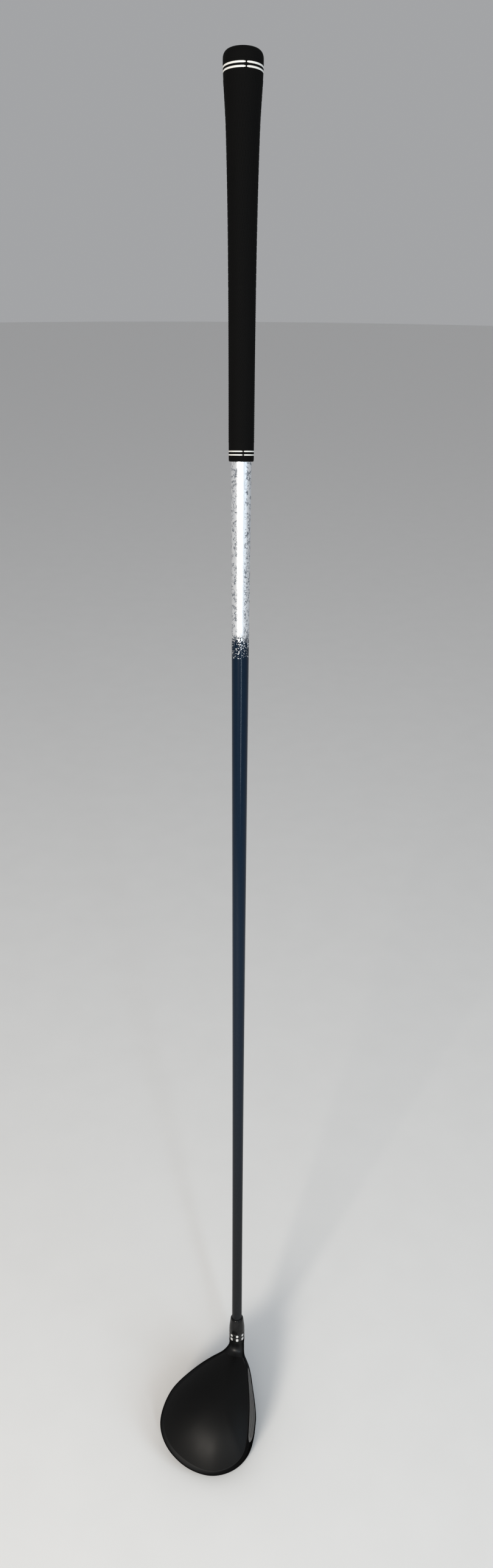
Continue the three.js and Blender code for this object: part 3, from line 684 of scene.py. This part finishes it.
def ring_tree():
    """Sets copies of one shape at even turns round the origin and gives them the finish."""
    tree = bpy.data.node_groups.new("marks_round_a_ring", "GeometryNodeTree")
    new = tree.interface.new_socket
    new("Mark", in_out="INPUT", socket_type="NodeSocketGeometry")
    new("Count", in_out="INPUT", socket_type="NodeSocketInt")
    new("First", in_out="INPUT", socket_type="NodeSocketFloat")
    new("Finish", in_out="INPUT", socket_type="NodeSocketMaterial")
    new("Marks", in_out="OUTPUT", socket_type="NodeSocketGeometry")
    kinds = ["NodeGroupInput", "GeometryNodePoints", "GeometryNodeInputIndex", "ShaderNodeMath", "ShaderNodeMath"]
    kinds += ["ShaderNodeMath", "ShaderNodeCombineXYZ", "FunctionNodeEulerToRotation", "GeometryNodeInstanceOnPoints"]
    kinds += ["GeometryNodeRealizeInstances", "GeometryNodeSetMaterial", "NodeGroupOutput"]
    given, spots, index, share, turn, start, angles, turns, put, real, finish, out = (tree.nodes.new(k) for k in kinds)
    share.operation = "DIVIDE"
    turn.operation = "MULTIPLY"
    turn.inputs[1].default_value = 2 * math.pi
    start.operation = "ADD"
    link = tree.links.new
    link(given.outputs["Count"], spots.inputs["Count"])
    link(index.outputs[0], share.inputs[0])
    link(given.outputs["Count"], share.inputs[1])
    link(share.outputs[0], turn.inputs[0])
    link(turn.outputs[0], start.inputs[0])
    link(given.outputs["First"], start.inputs[1])
    link(start.outputs[0], angles.inputs["Z"])
    link(angles.outputs[0], turns.inputs[0])
    link(turns.outputs[0], put.inputs["Rotation"])
    link(spots.outputs[0], put.inputs["Points"])
    link(given.outputs["Mark"], put.inputs["Instance"])
    link(put.outputs[0], real.inputs[0])
    link(real.outputs[0], finish.inputs["Geometry"])
    link(given.outputs["Finish"], finish.inputs["Material"])
    link(finish.outputs[0], out.inputs[0])
    return tree


mark_tree = ring_tree()


def mark_mesh(name, radius, height, wide, tall, squareness):
    """A thin pillow with rounded corners, bent to the ring and standing a little proud of it."""
    points, faces = [], []
    rows = [(1.0, -0.1 * mm), (1.0, 0.02 * mm), (0.9, 0.06 * mm), (0.5, 0.08 * mm)]
    count = 24
    for size, out in rows:
        for i in range(count):
            a = 2 * math.pi * i / count
            x = abs(math.cos(a)) ** squareness * math.copysign(wide / 2, math.cos(a)) * size
            y = abs(math.sin(a)) ** squareness * math.copysign(tall / 2, math.sin(a)) * size
            turn = x / radius
            points.append(((radius + out) * math.cos(turn), (radius + out) * math.sin(turn), height + y))
    for row in range(len(rows) - 1):
        for i in range(count):
            j = (i + 1) % count
            faces.append((row * count + i, row * count + j, (row + 1) * count + j, (row + 1) * count + i))
    faces.append(tuple(range(len(points) - count, len(points))))
    faces.append(tuple(reversed(range(count))))
    return mesh_object(name, points, faces)


ring_sizes = {
    "lower": ("lower_ring", "lower_index_ring", 2.3 * mm, 2.9 * mm, 0.5),
    "upper": ("upper_ring", "upper_index_ring", 2.2 * mm, 2.6 * mm, 0.8),
}
for which, (body, node, wide, tall, squareness) in ring_sizes.items():
    low, high, inner, outer = span(node)
    low, high = low - 0.1 * mm, high + 0.1 * mm
    body_outline = [(inner, low), (outer - 0.3 * mm, low), (outer, low + 0.3 * mm), (outer, high - 0.3 * mm)]
    body_outline += [(outer - 0.3 * mm, high), (inner, high)]
    ring = turned(f"{which}_ring_alloy", body_outline, rounding=0.08 * mm)
    fit(ring, anodised_alloy, body, "adapter_alloy", node)
    marks = mark_mesh(f"{which}_ring_marks", outer, (low + high) / 2, wide, tall, squareness)
    grown(marks, mark_tree, Count=8, First=math.radians(-90 + 3), Finish=mark_paint)
    marks.data.transform(shaft_axes)
    fit(shade(marks, 60), mark_paint, body, "index_paint")

# ---- Head skin ----
# A hollow head cast in steel, drawn as three hoops: the sole's edge, the widest line of the skirt
# and the crown's edge. Each runs from the face by way of the heel, the back and the toe.

sole_hoop = [
    (15.4, -45, 1.2), (12.8, -20, 1.8), (7.6, -1, 3), (-1, 10, 4.6), (-15.5, 4, 5), (-36, -8.5, 4.8),
    (-54, -26, 4.2), (-61, -47, 4), (-55.5, -63.5, 4.4), (-40, -76.5, 5.6), (-21, -80.5, 6.5),
    (-3, -75.5, 5), (9, -68.5, 2.6),
]
skirt_hoop = [
    (18.4, -45, 4.5), (15.8, -19, 6.2), (10.6, 3, 9), (-0.5, 16.8, 12), (-18, 9.5, 15), (-41, -4.2, 15.5),
    (-61.5, -23, 14), (-69.8, -47.4, 13), (-63.5, -66.5, 13.5), (-45, -83.2, 14.5), (-21.9, -90.1, 15),
    (-1.5, -85.2, 12.5), (12, -72, 8.5),
]
crown_hoop = [
    (11.2, -45, 31.4), (10.4, -19, 29.6), (7.6, 1, 27), (-1, 12.5, 24.5), (-16.5, 6.4, 22.8), (-38.6, -6.8, 20.5),
    (-58.8, -24.8, 18.2), (-66.7, -47.2, 17.2), (-60.8, -65, 17.8), (-43.4, -80.4, 19.6), (-21.8, -88, 22),
    (-3.5, -84, 24.5), (6.9, -74.5, 28),
]
head_centre = np.array([-24, -40])
sole_pole = np.array([-22, -42, 0])
crown_pole = np.array([-13, -40, 38.2])
flat_share = 0.55


def ease(x, low, high):
    x = np.clip((x - low) / (high - low), 0, 1)
    return x * x * (3 - 2 * x)


def hoop_ring(hoop, inset, rise, steps):
    """A hoop drawn in towards the head's centre and raised."""
    hoop = np.array(hoop, float)
    out = hoop[:, :2] - head_centre
    reach = np.linalg.norm(out, axis=1, keepdims=True)
    hoop[:, :2] = head_centre + out * (reach - inset) / reach
    hoop[:, 2] += rise
    return smooth_through(hoop, steps)


def head_skin(name, wall=0.0, top_wall=None, steps=4, rows=(4, 3, 3, 6)):
    """The head's outer skin, or with walls taken off it, a skin inside it."""
    top_wall = wall if top_wall is None else top_wall
    sole = hoop_ring(sole_hoop, wall, wall, steps)
    skirt = hoop_ring(skirt_hoop, wall, 0, steps)
    crown = hoop_ring(crown_hoop, wall, -0.7 * top_wall, steps)
    bottom = sole_pole + [0, 0, wall]
    top = crown_pole - [0, 0, top_wall]
    count = len(sole_hoop)
    station = np.arange(count * steps) / steps
    past = np.where(station >= count / 2, station - count, station)
    straight = ease(past, -2.2, -1.0) * (1 - ease(past, 1.6, 2.8))
    fullness = (1.8 + (1 - 1.8) * straight)[:, None]
    rings = []
    for share in np.linspace(flat_share, 1, rows[0], endpoint=False):
        rise = max(0, (share - flat_share) / (1 - flat_share)) ** 2
        ring = bottom + (sole - bottom) * share
        ring[:, 2] = wall + (sole[:, 2] - wall) * rise
        rings.append(ring)
    for turn in np.linspace(0, math.pi / 2, rows[1], endpoint=False):
        ring = sole + (skirt - sole) * math.sin(turn)
        ring[:, 2] = sole[:, 2] + (skirt[:, 2] - sole[:, 2]) * (1 - math.cos(turn))
        rings.append(ring)
    for share in np.linspace(0, 1, rows[2], endpoint=False):
        ring = skirt + (crown - skirt) * share**fullness
        ring[:, 2] = skirt[:, 2] + (crown[:, 2] - skirt[:, 2]) * share
        rings.append(ring)
    for share in np.linspace(1, 0, rows[3], endpoint=False):
        ring = top + (crown - top) * share
        ring[:, 2] = crown[:, 2] + (top[2] - crown[:, 2]) * (1 - share**2.2)
        rings.append(ring)
    around = len(rings[0])
    points = [bottom, *np.vstack(rings), top]
    faces = []
    last = len(points) - 1
    for i in range(around):
        j = (i + 1) % around
        faces.append((0, 1 + j, 1 + i))
        for row in range(len(rings) - 1):
            a, b = 1 + row * around, 1 + (row + 1) * around
            faces.append((a + i, a + j, b + j, b + i))
        faces.append((last - around + i, last - around + j, last))
    return mesh_object(name, np.array(points) * mm, faces, head_axes)


def join_shapes(name, *shapes):
    """One object holding the meshes of several, which are removed."""
    shape = bmesh.new()
    for item in shapes:
        shape.from_mesh(item.data)
        bpy.data.objects.remove(item)
    mesh = bpy.data.meshes.new(name)
    shape.to_mesh(mesh)
    shape.free()
    piece = bpy.data.objects.new(name, mesh)
    bpy.context.collection.objects.link(piece)
    return piece


def baked(piece):
    """The piece's modifiers made part of its mesh."""
    bpy.context.view_layer.update()
    mesh = bpy.data.meshes.new_from_object(piece.evaluated_get(bpy.context.evaluated_depsgraph_get()))
    piece.modifiers.clear()
    piece.data = mesh
    return piece


def carve(piece, tool, operation="DIFFERENCE", keep=False):
    """Cuts, joins or keeps the common part of two closed shapes."""
    modifier = piece.modifiers.new("carve", "BOOLEAN")
    modifier.solver = "MANIFOLD"
    modifier.operation = operation
    modifier.object = tool
    baked(piece)
    if not keep:
        bpy.data.objects.remove(tool)
    return piece


def copy_of(piece, name):
    twin = bpy.data.objects.new(name, piece.data.copy())
    bpy.context.collection.objects.link(twin)
    return twin


def relax(points, edges, share, rounds):
    """Moves each point towards its neighbours' middle, by its own share."""
    count = np.maximum(np.bincount(edges.ravel(), minlength=len(points)), 1)[:, None]
    here = np.concatenate([edges[:, 0], edges[:, 1]])
    there = np.concatenate([edges[:, 1], edges[:, 0]])
    for step in range(rounds):
        total = np.stack([np.bincount(here, points[there, axis], len(points)) for axis in range(3)], axis=1)
        points = points + (total / count - points) * (share[step % 2] if isinstance(share, tuple) else share)
    return points


neck_radius = 7.22 * mm
flare_radius, flare_top, flare_reach = 11 * mm, 32 * mm, 9.5 * mm
neck_rings = []
for drop in np.linspace(flare_reach + 8 * mm, -18 * mm, 60):
    fall = min(max(drop, 0), flare_reach)
    flare = flare_radius - math.sqrt(flare_radius**2 - fall**2)
    turns = np.arange(96) * 2 * math.pi / 96
    radius = neck_radius + flare * (0.5 + 0.5 * np.cos(turns - math.radians(215))) ** 2
    heights = np.full(96, flare_top - drop)
    neck_rings.append(np.stack([radius * np.cos(turns), radius * np.sin(turns), heights], axis=1))
neck_points = np.vstack(neck_rings)
neck_faces = [tuple(reversed(range(96))), tuple(range(len(neck_points) - 96, len(neck_points)))]
for row in range(len(neck_rings) - 1):
    for i in range(96):
        j = (i + 1) % 96
        neck_faces.append((row * 96 + i, row * 96 + j, (row + 1) * 96 + j, (row + 1) * 96 + i))
neck_shape = mesh_object("neck_shape", neck_points, neck_faces, shaft_axes)
outer_skin = join_shapes("outer_skin", head_skin("skin", steps=14, rows=(10, 10, 14, 26)), neck_shape)
remesh = outer_skin.modifiers.new("union", "REMESH")
remesh.mode = "VOXEL"
remesh.voxel_size = 0.7 * mm
baked(outer_skin)

flat = np.empty(len(outer_skin.data.vertices) * 3)
outer_skin.data.vertices.foreach_get("co", flat)
skin_points = flat.reshape(-1, 3)
flat_edges = np.empty(len(outer_skin.data.edges) * 2, dtype=np.int64)
outer_skin.data.edges.foreach_get("vertices", flat_edges)
skin_edges = flat_edges.reshape(-1, 2)
to_shaft = np.array(shaft_axes.inverted())
local = skin_points @ to_shaft[:3, :3].T + to_shaft[:3, 3]
from_axis = np.hypot(local[:, 0], local[:, 1])
near_neck = ease(from_axis, 22 * mm, 13 * mm) * ease(local[:, 2], 36 * mm, 31 * mm) * ease(local[:, 2], 12 * mm, 17 * mm)
skin_points = relax(skin_points, skin_edges, (0.5, -0.52), 12)
skin_points = relax(skin_points, skin_edges, 0.6 * near_neck[:, None], 50)
outer_skin.data.vertices.foreach_set("co", skin_points.ravel())

# ---- Crown, face and ports: the lines along which the head's pieces meet ----
# The crown is a thin moulded shell glued on a ledge. The face is a harder steel insert. Ports in
# the sole take the neck's bolt and two weights, and a thin plate covers the middle of the sole.

hairline = 0.04 * mm
crown_outline = [point[:2] for point in crown_hoop]
face_outline = [
    (-3.5, 18.6), (-14, 12.6), (-30, 9.2), (-44, 8.6), (-54, 9.6), (-61.5, 13.2), (-64.5, 19.5), (-61.5, 25),
    (-50, 27.2), (-35, 27), (-18, 25.4), (-7.5, 23),
]
sole_plate_outline = [
    (-8.6, -41), (-13, -27.5), (-25, -18), (-36, -27), (-40, -41), (-36, -55), (-25, -60.5), (-13, -54.5),
]
face_point = np.array([15, -38, 17])
loft = math.radians(15)


def prism(name, outline, grow, bottom, top, place, steps=10):
    """A prism of a smooth closed outline, grown outwards. Lengths are in millimetres."""
    outline = np.array(outline, float)
    middle = outline.mean(axis=0)
    out = outline - middle
    reach = np.linalg.norm(out, axis=1, keepdims=True)
    rim = smooth_through(middle + out * (reach + grow) / reach, steps)
    count = len(rim)
    points = [(x, y, z) for z in (bottom, top) for x, y in rim]
    faces = [tuple(range(count)), tuple(range(count, 2 * count))]
    faces += [(i, (i + 1) % count, (i + 1) % count + count, i + count) for i in range(count)]
    shape = bmesh.new()
    corners = [shape.verts.new(Vector(point) * mm) for point in points]
    for face in faces:
        shape.faces.new([corners[i] for i in face])
    bmesh.ops.recalc_face_normals(shape, faces=shape.faces)
    shape.transform(place)
    mesh = bpy.data.meshes.new(name)
    shape.to_mesh(mesh)
    shape.free()
    piece = bpy.data.objects.new(name, mesh)
    bpy.context.collection.objects.link(piece)
    return piece


def rod(name, radius, bottom, top, place, facets=96):
    outline = [(0, bottom), (radius, bottom), (radius, top), (0, top)]
    return turned(name, outline, place, facets, rounding=0)


crown_neck_radius = 12.68 * mm


def crown_region(name, grow, neck_grow):
    region = prism(name, crown_outline, grow, 15.2, 50, head_axes, steps=20)
    return carve(region, rod("neck_way", crown_neck_radius + neck_grow, -20 * mm, 80 * mm, shaft_axes))


face_turn = Matrix((Vector((0, 1, 0)), Vector((-math.sin(loft), 0, math.cos(loft))), Vector((math.cos(loft), 0, math.sin(loft)))))
face_axes = head_axes @ Matrix.Translation(Vector(face_point) * mm) @ face_turn.transposed().to_4x4()
face_local = [(y - face_point[1], (z - face_point[2]) / math.cos(loft)) for y, z in face_outline]


def face_region(name, grow):
    return prism(name, face_local, grow, -12, 12, face_axes, steps=16)


def weight_axes(screw_joint):
    joint = joints[screw_joint]
    return axes(Vector(joint["pos_m"]), -Vector(joint["axis"]), front)


weight_places = {"front": weight_axes("front_screw_turn"), "rear": weight_axes("rear_screw_turn")}

# ---- Crown shell ----
# A satin black painted shell, even and soft in its shine, that covers the top of the head up to a
# fine joint round its edge and round the foot of the neck.

crown = carve(copy_of(outer_skin, "crown_cover"), crown_region("crown_cut", -0.5 - 0.04, hairline), "INTERSECT")
carve(crown, head_skin("under_crown", 1.3))
shade(crown, 40)

paint = Paint("satin_black_paint", specular_ior_level=0.13)
peel = paint.noise(0.9 * mm, detail=2.0)
grain = paint.noise(0.12 * mm, detail=2.0, roughness=0.7)
cloud = paint.noise(25 * mm, detail=3.0)
dust = paint.ramp(paint.noise(0.5 * mm, detail=0.0), 0.74, 0.8)
satin_black_paint = paint.surface(
    base_color=paint.blend(dust * 0.2 + grain * 0.3, grey(0.002), grey(0.01, 0.02)),
    roughness=paint.ramp(cloud * 0.6 + grain * 0.4, 0.25, 0.75, 0.4, 0.5) + dust * 0.1,
    normal=paint.relief(peel * 0.6 + grain * 0.4, 0.008 * mm),
)
fit(crown, satin_black_paint, "head", "crown_paint", "crown_shell")

# ---- Face plate ----
# A steel insert, blasted and darkened, with fine score lines across it between a smooth toe and
# heel. Its edge meets the body in a fine joint.

face = carve(copy_of(outer_skin, "face_insert"), face_region("face_cut", -0.04), "INTERSECT")
carve(face, head_skin("behind_face", 2.3))
score_points, score_faces = [], []
rim = smooth_through(face_local, 16)
for up in np.arange(-6.5, 9, 3.0):
    near = rim[np.abs(rim[:, 1] - up) < 0.8]
    low, high = near[:, 0].min() + 3.5, near[:, 0].max() - 3.5
    first = len(score_points)
    for across in (low, high):
        for side, out in ((-0.45, -12), (0.45, -12), (0.45, 12), (-0.45, 12)):
            score_points.append((across * mm, (up + side) * mm, out * mm))
    sides = [(0, 1, 2, 3), (7, 6, 5, 4), (0, 4, 5, 1), (1, 5, 6, 2), (2, 6, 7, 3), (3, 7, 4, 0)]
    score_faces += [tuple(first + i for i in side) for side in sides]
scores = mesh_object("score_cut", score_points, score_faces, face_axes)
shape = bmesh.new()
shape.from_mesh(scores.data)
bmesh.ops.recalc_face_normals(shape, faces=shape.faces)
shape.to_mesh(scores.data)
shape.free()
carve(scores, head_skin("score_floor", 0.35, steps=14, rows=(10, 10, 14, 26)))
carve(face, scores)
shade(face, 30)

paint = Paint("blasted_steel", specular_ior_level=0.5)
brush = paint.noise(0.25 * mm, stretch=(1, 0.06, 1), detail=3.0)
blast = paint.noise(0.15 * mm, detail=3.0, roughness=0.8)
cloud = paint.noise(14 * mm, detail=3.0)
blasted_steel = paint.surface(
    base_color=paint.blend(brush * 0.5 + cloud * 0.5, grey(0.05, 0.02), grey(0.13, 0.02)),
    roughness=paint.ramp(blast * 0.5 + brush * 0.5, 0.3, 0.7, 0.34, 0.52),
    metallic=paint.ramp(cloud, 0.0, 1.0, 0.8, 0.9),
    normal=paint.relief(blast * 0.4 + brush * 0.6, 0.012 * mm),
)
fit(face, blasted_steel, "head", "face_steel", "face_plate")

# ---- Head body ----
# One casting: sole, skirt, the ledges under crown and face, and the neck with its bore. It is
# coated black all over, glossier on the skirt and sole than the crown is.

bolt_low, bolt_high, _, bolt_head_radius = span("hosel_bolt")
ring_low, ring_high, ring_hole, ring_radius = span("bolt_retaining_ring")
washer_low, washer_high, _, washer_radius = span("bolt_washer")
bore_floor = adapter_low - 0.3 * mm
web_foot = washer_high + 0.3 * mm
port_radius = bolt_head_radius + 0.8 * mm
bore_radius = foot_radius + 0.15 * mm
weight_sizes = {side: span(f"{side}_weight", place) for side, place in weight_places.items()}
screw_sizes = {side: span(f"{side}_weight_screw", place) for side, place in weight_places.items()}

inside = head_skin("hollow", 1.3, 2.8)
carve(inside, rod("neck_core", 7.5 * mm, -10 * mm, 40 * mm, shaft_axes))
for side, place in weight_places.items():
    port = weight_sizes[side][3] + 0.3 * mm
    boss_top = screw_sizes[side][1] + 1.6 * mm
    carve(inside, rod("boss", port + 1.3 * mm, -4 * mm, boss_top, place))
carve(inside, prism("sole_pad", sole_plate_outline, 1.6, -1, 3.2, head_axes))

body = carve(copy_of(outer_skin, "head_casting"), inside)
pocket_shape = carve(crown_region("crown_pocket", -0.5, 0.0), head_skin("pocket_floor", 1.4))
carve(body, pocket_shape)
carve(body, crown_region("crown_window", -6.5, 5 * mm))
carve(body, carve(face_region("face_pocket", 0.0), head_skin("pocket_back", 4.3)))
carve(body, prism("plate_seat", sole_plate_outline, 0.06, -5, 1.5, head_axes))
bolt_port = [(0, -20 * mm), (port_radius, -20 * mm), (port_radius, ring_low - 0.15 * mm)]
bolt_port += [(ring_radius + 0.15 * mm, ring_low - 0.15 * mm), (ring_radius + 0.15 * mm, ring_high + 0.15 * mm)]
bolt_port += [(port_radius, ring_high + 0.15 * mm), (port_radius, web_foot), (2.8 * mm, web_foot), (2.8 * mm, bore_floor)]
bolt_port += [(bore_radius, bore_floor), (bore_radius, neck_top - 0.5 * mm), (bore_radius + 0.4 * mm, neck_top)]
bolt_port += [(20 * mm, neck_top), (20 * mm, neck_top + 30 * mm), (0, neck_top + 30 * mm)]
carve(body, turned("bolt_way", bolt_port, rounding=0))
for side, place in weight_places.items():
    port = weight_sizes[side][3] + 0.12 * mm
    floor = weight_sizes[side][1] + 0.3 * mm
    end = screw_sizes[side][1] + 0.3 * mm
    way = [(0, -12 * mm), (port, -12 * mm), (port, floor), (2.15 * mm, floor), (2.15 * mm, end), (0, end)]
    carve(body, turned("weight_way", way, place, rounding=0))
shade(body, 38)

paint = Paint("black_coated_steel", metallic=1.0, specular_tint=(0.2, 0.2, 0.2, 1))
peel = paint.noise(1.3 * mm, detail=2.0)
grain = paint.noise(0.1 * mm, detail=2.0, roughness=0.7)
cloud = paint.noise(20 * mm, detail=3.0)
rub = paint.ramp(paint.noise(0.6 * mm, stretch=(1, 0.2, 1), detail=2.0), 0.66, 0.74)
height = paint.node("ShaderNodeVectorMath", {0: paint.place(), 1: head_up}, "Value", operation="DOT_PRODUCT")
satin_top = paint.ramp(height - head_up.dot(shaft_foot), 14 * mm, 18 * mm)
black_coated_steel = paint.surface(
    base_color=paint.blend(rub * 0.3 + grain * 0.2 + satin_top * 0.5, grey(0.014), grey(0.044)),
    roughness=paint.ramp(cloud * 0.6 + grain * 0.4, 0.25, 0.75, 0.28, 0.38) + satin_top * 0.1,
    normal=paint.relief(peel * 0.7 + grain * 0.3, 0.008 * mm),
)
fit(body, black_coated_steel, "head", "body_paint", "head_body")

# ---- Sole plate ----
# A thin glossy plate glued in a shallow seat in the middle of the sole, plain, with a fine raised
# border inside its edge.

plate = prism("sole_cover", sole_plate_outline, 0, 0, 1.3, head_axes, steps=16)
border = prism("border_cut", sole_plate_outline, -1.8, -5, 0.12, head_axes, steps=16)
carve(border, prism("border_core", sole_plate_outline, -2.8, -6, 1, head_axes, steps=16))
carve(plate, border)
shade(plate, 40)

paint = Paint("sole_lacquer", specular_ior_level=0.5, coat_roughness=0.05)
weave = paint.noise(0.8 * mm, stretch=(1, 0.3, 1), detail=2.0)
cloud = paint.noise(9 * mm, detail=3.0)
sole_lacquer = paint.surface(
    base_color=paint.blend(weave * 0.5 + cloud * 0.5, grey(0.012), grey(0.035)),
    roughness=paint.ramp(cloud, 0.3, 0.7, 0.18, 0.3),
    coat_weight=paint.ramp(cloud, 0.3, 0.7, 0.6, 0.9),
    normal=paint.relief(weave, 0.01 * mm),
)
fit(plate, sole_lacquer, "head", "sole_badge", "sole_plate")

# ---- Sole weights and their screws ----
# Turned steel pucks held in their ports by a socket screw each, the front one behind the face and
# the rear one near the back edge. Two small dimples let a key turn the puck.

weight_steel = lathe_finish("turned_weight_steel", grey(0.22), grey(0.42, 0.01), 0.26, 0.4, 0.95, 0.012 * mm)
fastener_steel = lathe_finish("fastener_steel", grey(0.16), grey(0.34, 0.01), 0.22, 0.36, 0.95, 0.01 * mm)


def hex_cut(piece, radius, bottom, depth, place):
    """Sinks a hexagonal socket in the underside of a piece."""
    return carve(piece, turned("hexagon", [(0, bottom - 2 * mm), (radius, bottom - 2 * mm), (radius, bottom + depth), (0, bottom + depth)], place, 6, 0))


for side, place in weight_places.items():
    low, high, hole, radius = weight_sizes[side]
    screw_low, screw_high, _, screw_head = screw_sizes[side]
    recess = screw_head + 0.12 * mm
    recess_top = screw_low + 2.3 * mm
    outline = [(hole, high), (hole, recess_top), (recess, recess_top), (recess, low + 0.25 * mm), (recess + 0.25 * mm, low)]
    outline += [(radius - 1.5 * mm, low), (radius - 1.3 * mm, low + 0.15 * mm), (radius - 1.0 * mm, low + 0.15 * mm)]
    outline += [(radius - 0.8 * mm, low), (radius - 0.5 * mm, low), (radius, low + 0.5 * mm), (radius, high)]
    puck = turned(f"{side}_weight_puck", outline, place, rounding=0.08 * mm)
    for turn in (0, math.pi):
        spot = place @ Matrix.Translation((math.cos(turn) * 5.2 * mm, math.sin(turn) * 5.2 * mm, 0))
        carve(puck, turned("dimple", [(0, low - 1 * mm), (0.55 * mm, low - 1 * mm), (0.55 * mm, low + 0.7 * mm), (0, low + 1 * mm)], spot, 24, 0))
    fit(shade(puck), weight_steel, f"{side}_weight", "weight_steel", f"{side}_weight")

    thread_radius = 2 * mm
    outline = [(0, screw_low), (screw_head - 0.3 * mm, screw_low), (screw_head, screw_low + 0.3 * mm)]
    outline += [(screw_head, screw_low + 2 * mm), (thread_radius - 0.25 * mm, screw_low + 2 * mm)]
    for crest in np.arange(screw_low + 2.6 * mm, screw_high - 0.5 * mm, 0.7 * mm):
        outline += [(thread_radius - 0.25 * mm, crest - 0.25 * mm), (thread_radius, crest), (thread_radius - 0.25 * mm, crest + 0.25 * mm)]
    outline += [(thread_radius - 0.4 * mm, screw_high), (0, screw_high)]
    screw = turned(f"{side}_weight_socket_screw", outline, place, 64, rounding=0.03 * mm)
    hex_cut(screw, 1.9 * mm, screw_low, 1.3 * mm, place)
    fit(shade(screw), fastener_steel, f"{side}_screw", "fastener_steel", f"{side}_weight_screw")

# ---- Neck bolt, washer and retaining ring ----
# The bolt draws the adapter down into the neck. A washer spreads its load on the web, and a split
# ring sprung into the port keeps the bolt in the head when it is undone.

bolt_radius = 2.5 * mm
head_top = washer_low - 0.3 * mm
outline = [(0, bolt_low), (bolt_head_radius - 0.5 * mm, bolt_low), (bolt_head_radius, bolt_low + 0.5 * mm)]
outline += [(bolt_head_radius, head_top), (bolt_radius, head_top)]
for crest in np.arange(bore_floor + 0.8 * mm, bolt_high - 0.6 * mm, 0.8 * mm):
    outline += [(bolt_radius - 0.28 * mm, crest - 0.3 * mm), (bolt_radius, crest), (bolt_radius - 0.28 * mm, crest + 0.3 * mm)]
outline += [(bolt_radius - 0.5 * mm, bolt_high), (0, bolt_high)]
bolt = turned("neck_bolt", outline, facets=64, rounding=0.03 * mm)
hex_cut(bolt, bolt_radius, bolt_low, 2.2 * mm, shaft_axes)
fit(shade(bolt), fastener_steel, "bolt", "fastener_steel", "hosel_bolt")

washer_hole = span("bolt_washer")[2]
outline = [(washer_hole, washer_low), (washer_radius, washer_low), (washer_radius, washer_high), (washer_hole, washer_high)]
washer = turned("neck_bolt_washer", outline, facets=64, rounding=0.15 * mm)
fit(washer, fastener_steel, "bolt_carrier", "fastener_steel", "bolt_washer")

outline = [(ring_hole, ring_low), (ring_radius, ring_low), (ring_radius, ring_high), (ring_hole, ring_high)]
snap_ring = turned("snap_ring", outline, facets=96, rounding=0.15 * mm)
split = [(-1.2, 0), (1.2, 0), (1.2, 9), (-1.2, 9)]
split_points = [(x * mm, y * mm, z) for z in (ring_low - 1 * mm, ring_high + 1 * mm) for x, y in split]
split_faces = [(3, 2, 1, 0), (4, 5, 6, 7), (0, 1, 5, 4), (1, 2, 6, 5), (2, 3, 7, 6), (3, 0, 4, 7)]
carve(snap_ring, mesh_object("split_cut", split_points, split_faces, shaft_axes))
outer_skin.data.transform(Matrix.Translation(head_up * (0.5 * mm)))
carve(snap_ring, outer_skin, "INTERSECT")
fit(shade(snap_ring), fastener_steel, "head", "fastener_steel", "bolt_retaining_ring")

# ---- Floor, light and camera ----
# A pale studio floor under a pale surround. A broad warm light stands over the viewer's shoulder,
# a small one draws the shine on the crown, and a narrow strip and a cool box light the far side.

paint = Paint("pale_floor", specular_ior_level=0.2)
speckle = paint.noise(0.05, detail=4.0)
pale_floor = paint.surface(
    base_color=paint.blend(speckle, (0.84, 0.835, 0.825, 1), (0.87, 0.865, 0.855, 1)),
    roughness=paint.ramp(speckle, 0.3, 0.7, 0.6, 0.75),
)
floor_points = [(12 * math.cos(a), 12 * math.sin(a), 0) for a in np.linspace(0, 2 * math.pi, 96, endpoint=False)]
floor = mesh_object("floor", floor_points, [tuple(range(96))])
floor.data.materials.append(pale_floor)

world = bpy.data.worlds.new("pale_surround")
bpy.context.scene.world = world
world.use_nodes = True
world.node_tree.nodes["Background"].inputs["Color"].default_value = (0.80, 0.81, 0.83, 1)
world.node_tree.nodes["Background"].inputs["Strength"].default_value = 0.46


def soft_light(name, place, target, size, power, colour):
    light = bpy.data.lights.new(name, "AREA")
    light.shape = "RECTANGLE"
    light.size, light.size_y = size
    light.energy = power
    light.spread = math.radians(120)
    light.color = colour
    lamp = bpy.data.objects.new(name, light)
    lamp.location = place
    lamp.rotation_euler = (Vector(target) - Vector(place)).to_track_quat("-Z", "Y").to_euler()
    bpy.context.collection.objects.link(lamp)


soft_light("key_box", (-0.9, -2.4, 1.9), (0, 0, 0.55), (2.4, 1.8), 11.2, (1.0, 0.95, 0.88))
soft_light("front_box", (-1.05, -2.3, 1.25), (0, -0.1, 0.1), (0.6, 0.6), 16.6, (1.0, 0.93, 0.84))
soft_light("strip_light", (0.4, -1.35, 0.9), (0, 0, 0.8), (0.1, 1.0), 2.0, (0.75, 0.88, 1.0))
soft_light("window_box", (2.4, -1.6, 1.8), (0, 0, 0.55), (1.5, 1.8), 9.3, (0.7, 0.87, 1.0))

bpy.context.scene.view_settings.view_transform = "Standard"

camera_data = bpy.data.cameras.new("view")
camera_data.sensor_width = 36
camera_data.lens = 25
camera = bpy.data.objects.new("view", camera_data)
camera.location = shaft_foot + Vector((5.51, -666.1, 977.05)) * mm
camera.rotation_euler = (Matrix.Rotation(math.radians(62.5), 3, "X") @ Matrix.Rotation(0.00697, 3, "Z")).to_euler()
camera_data.clip_start = 0.01
camera_data.clip_end = 100
bpy.context.collection.objects.link(camera)
bpy.context.scene.camera = camera
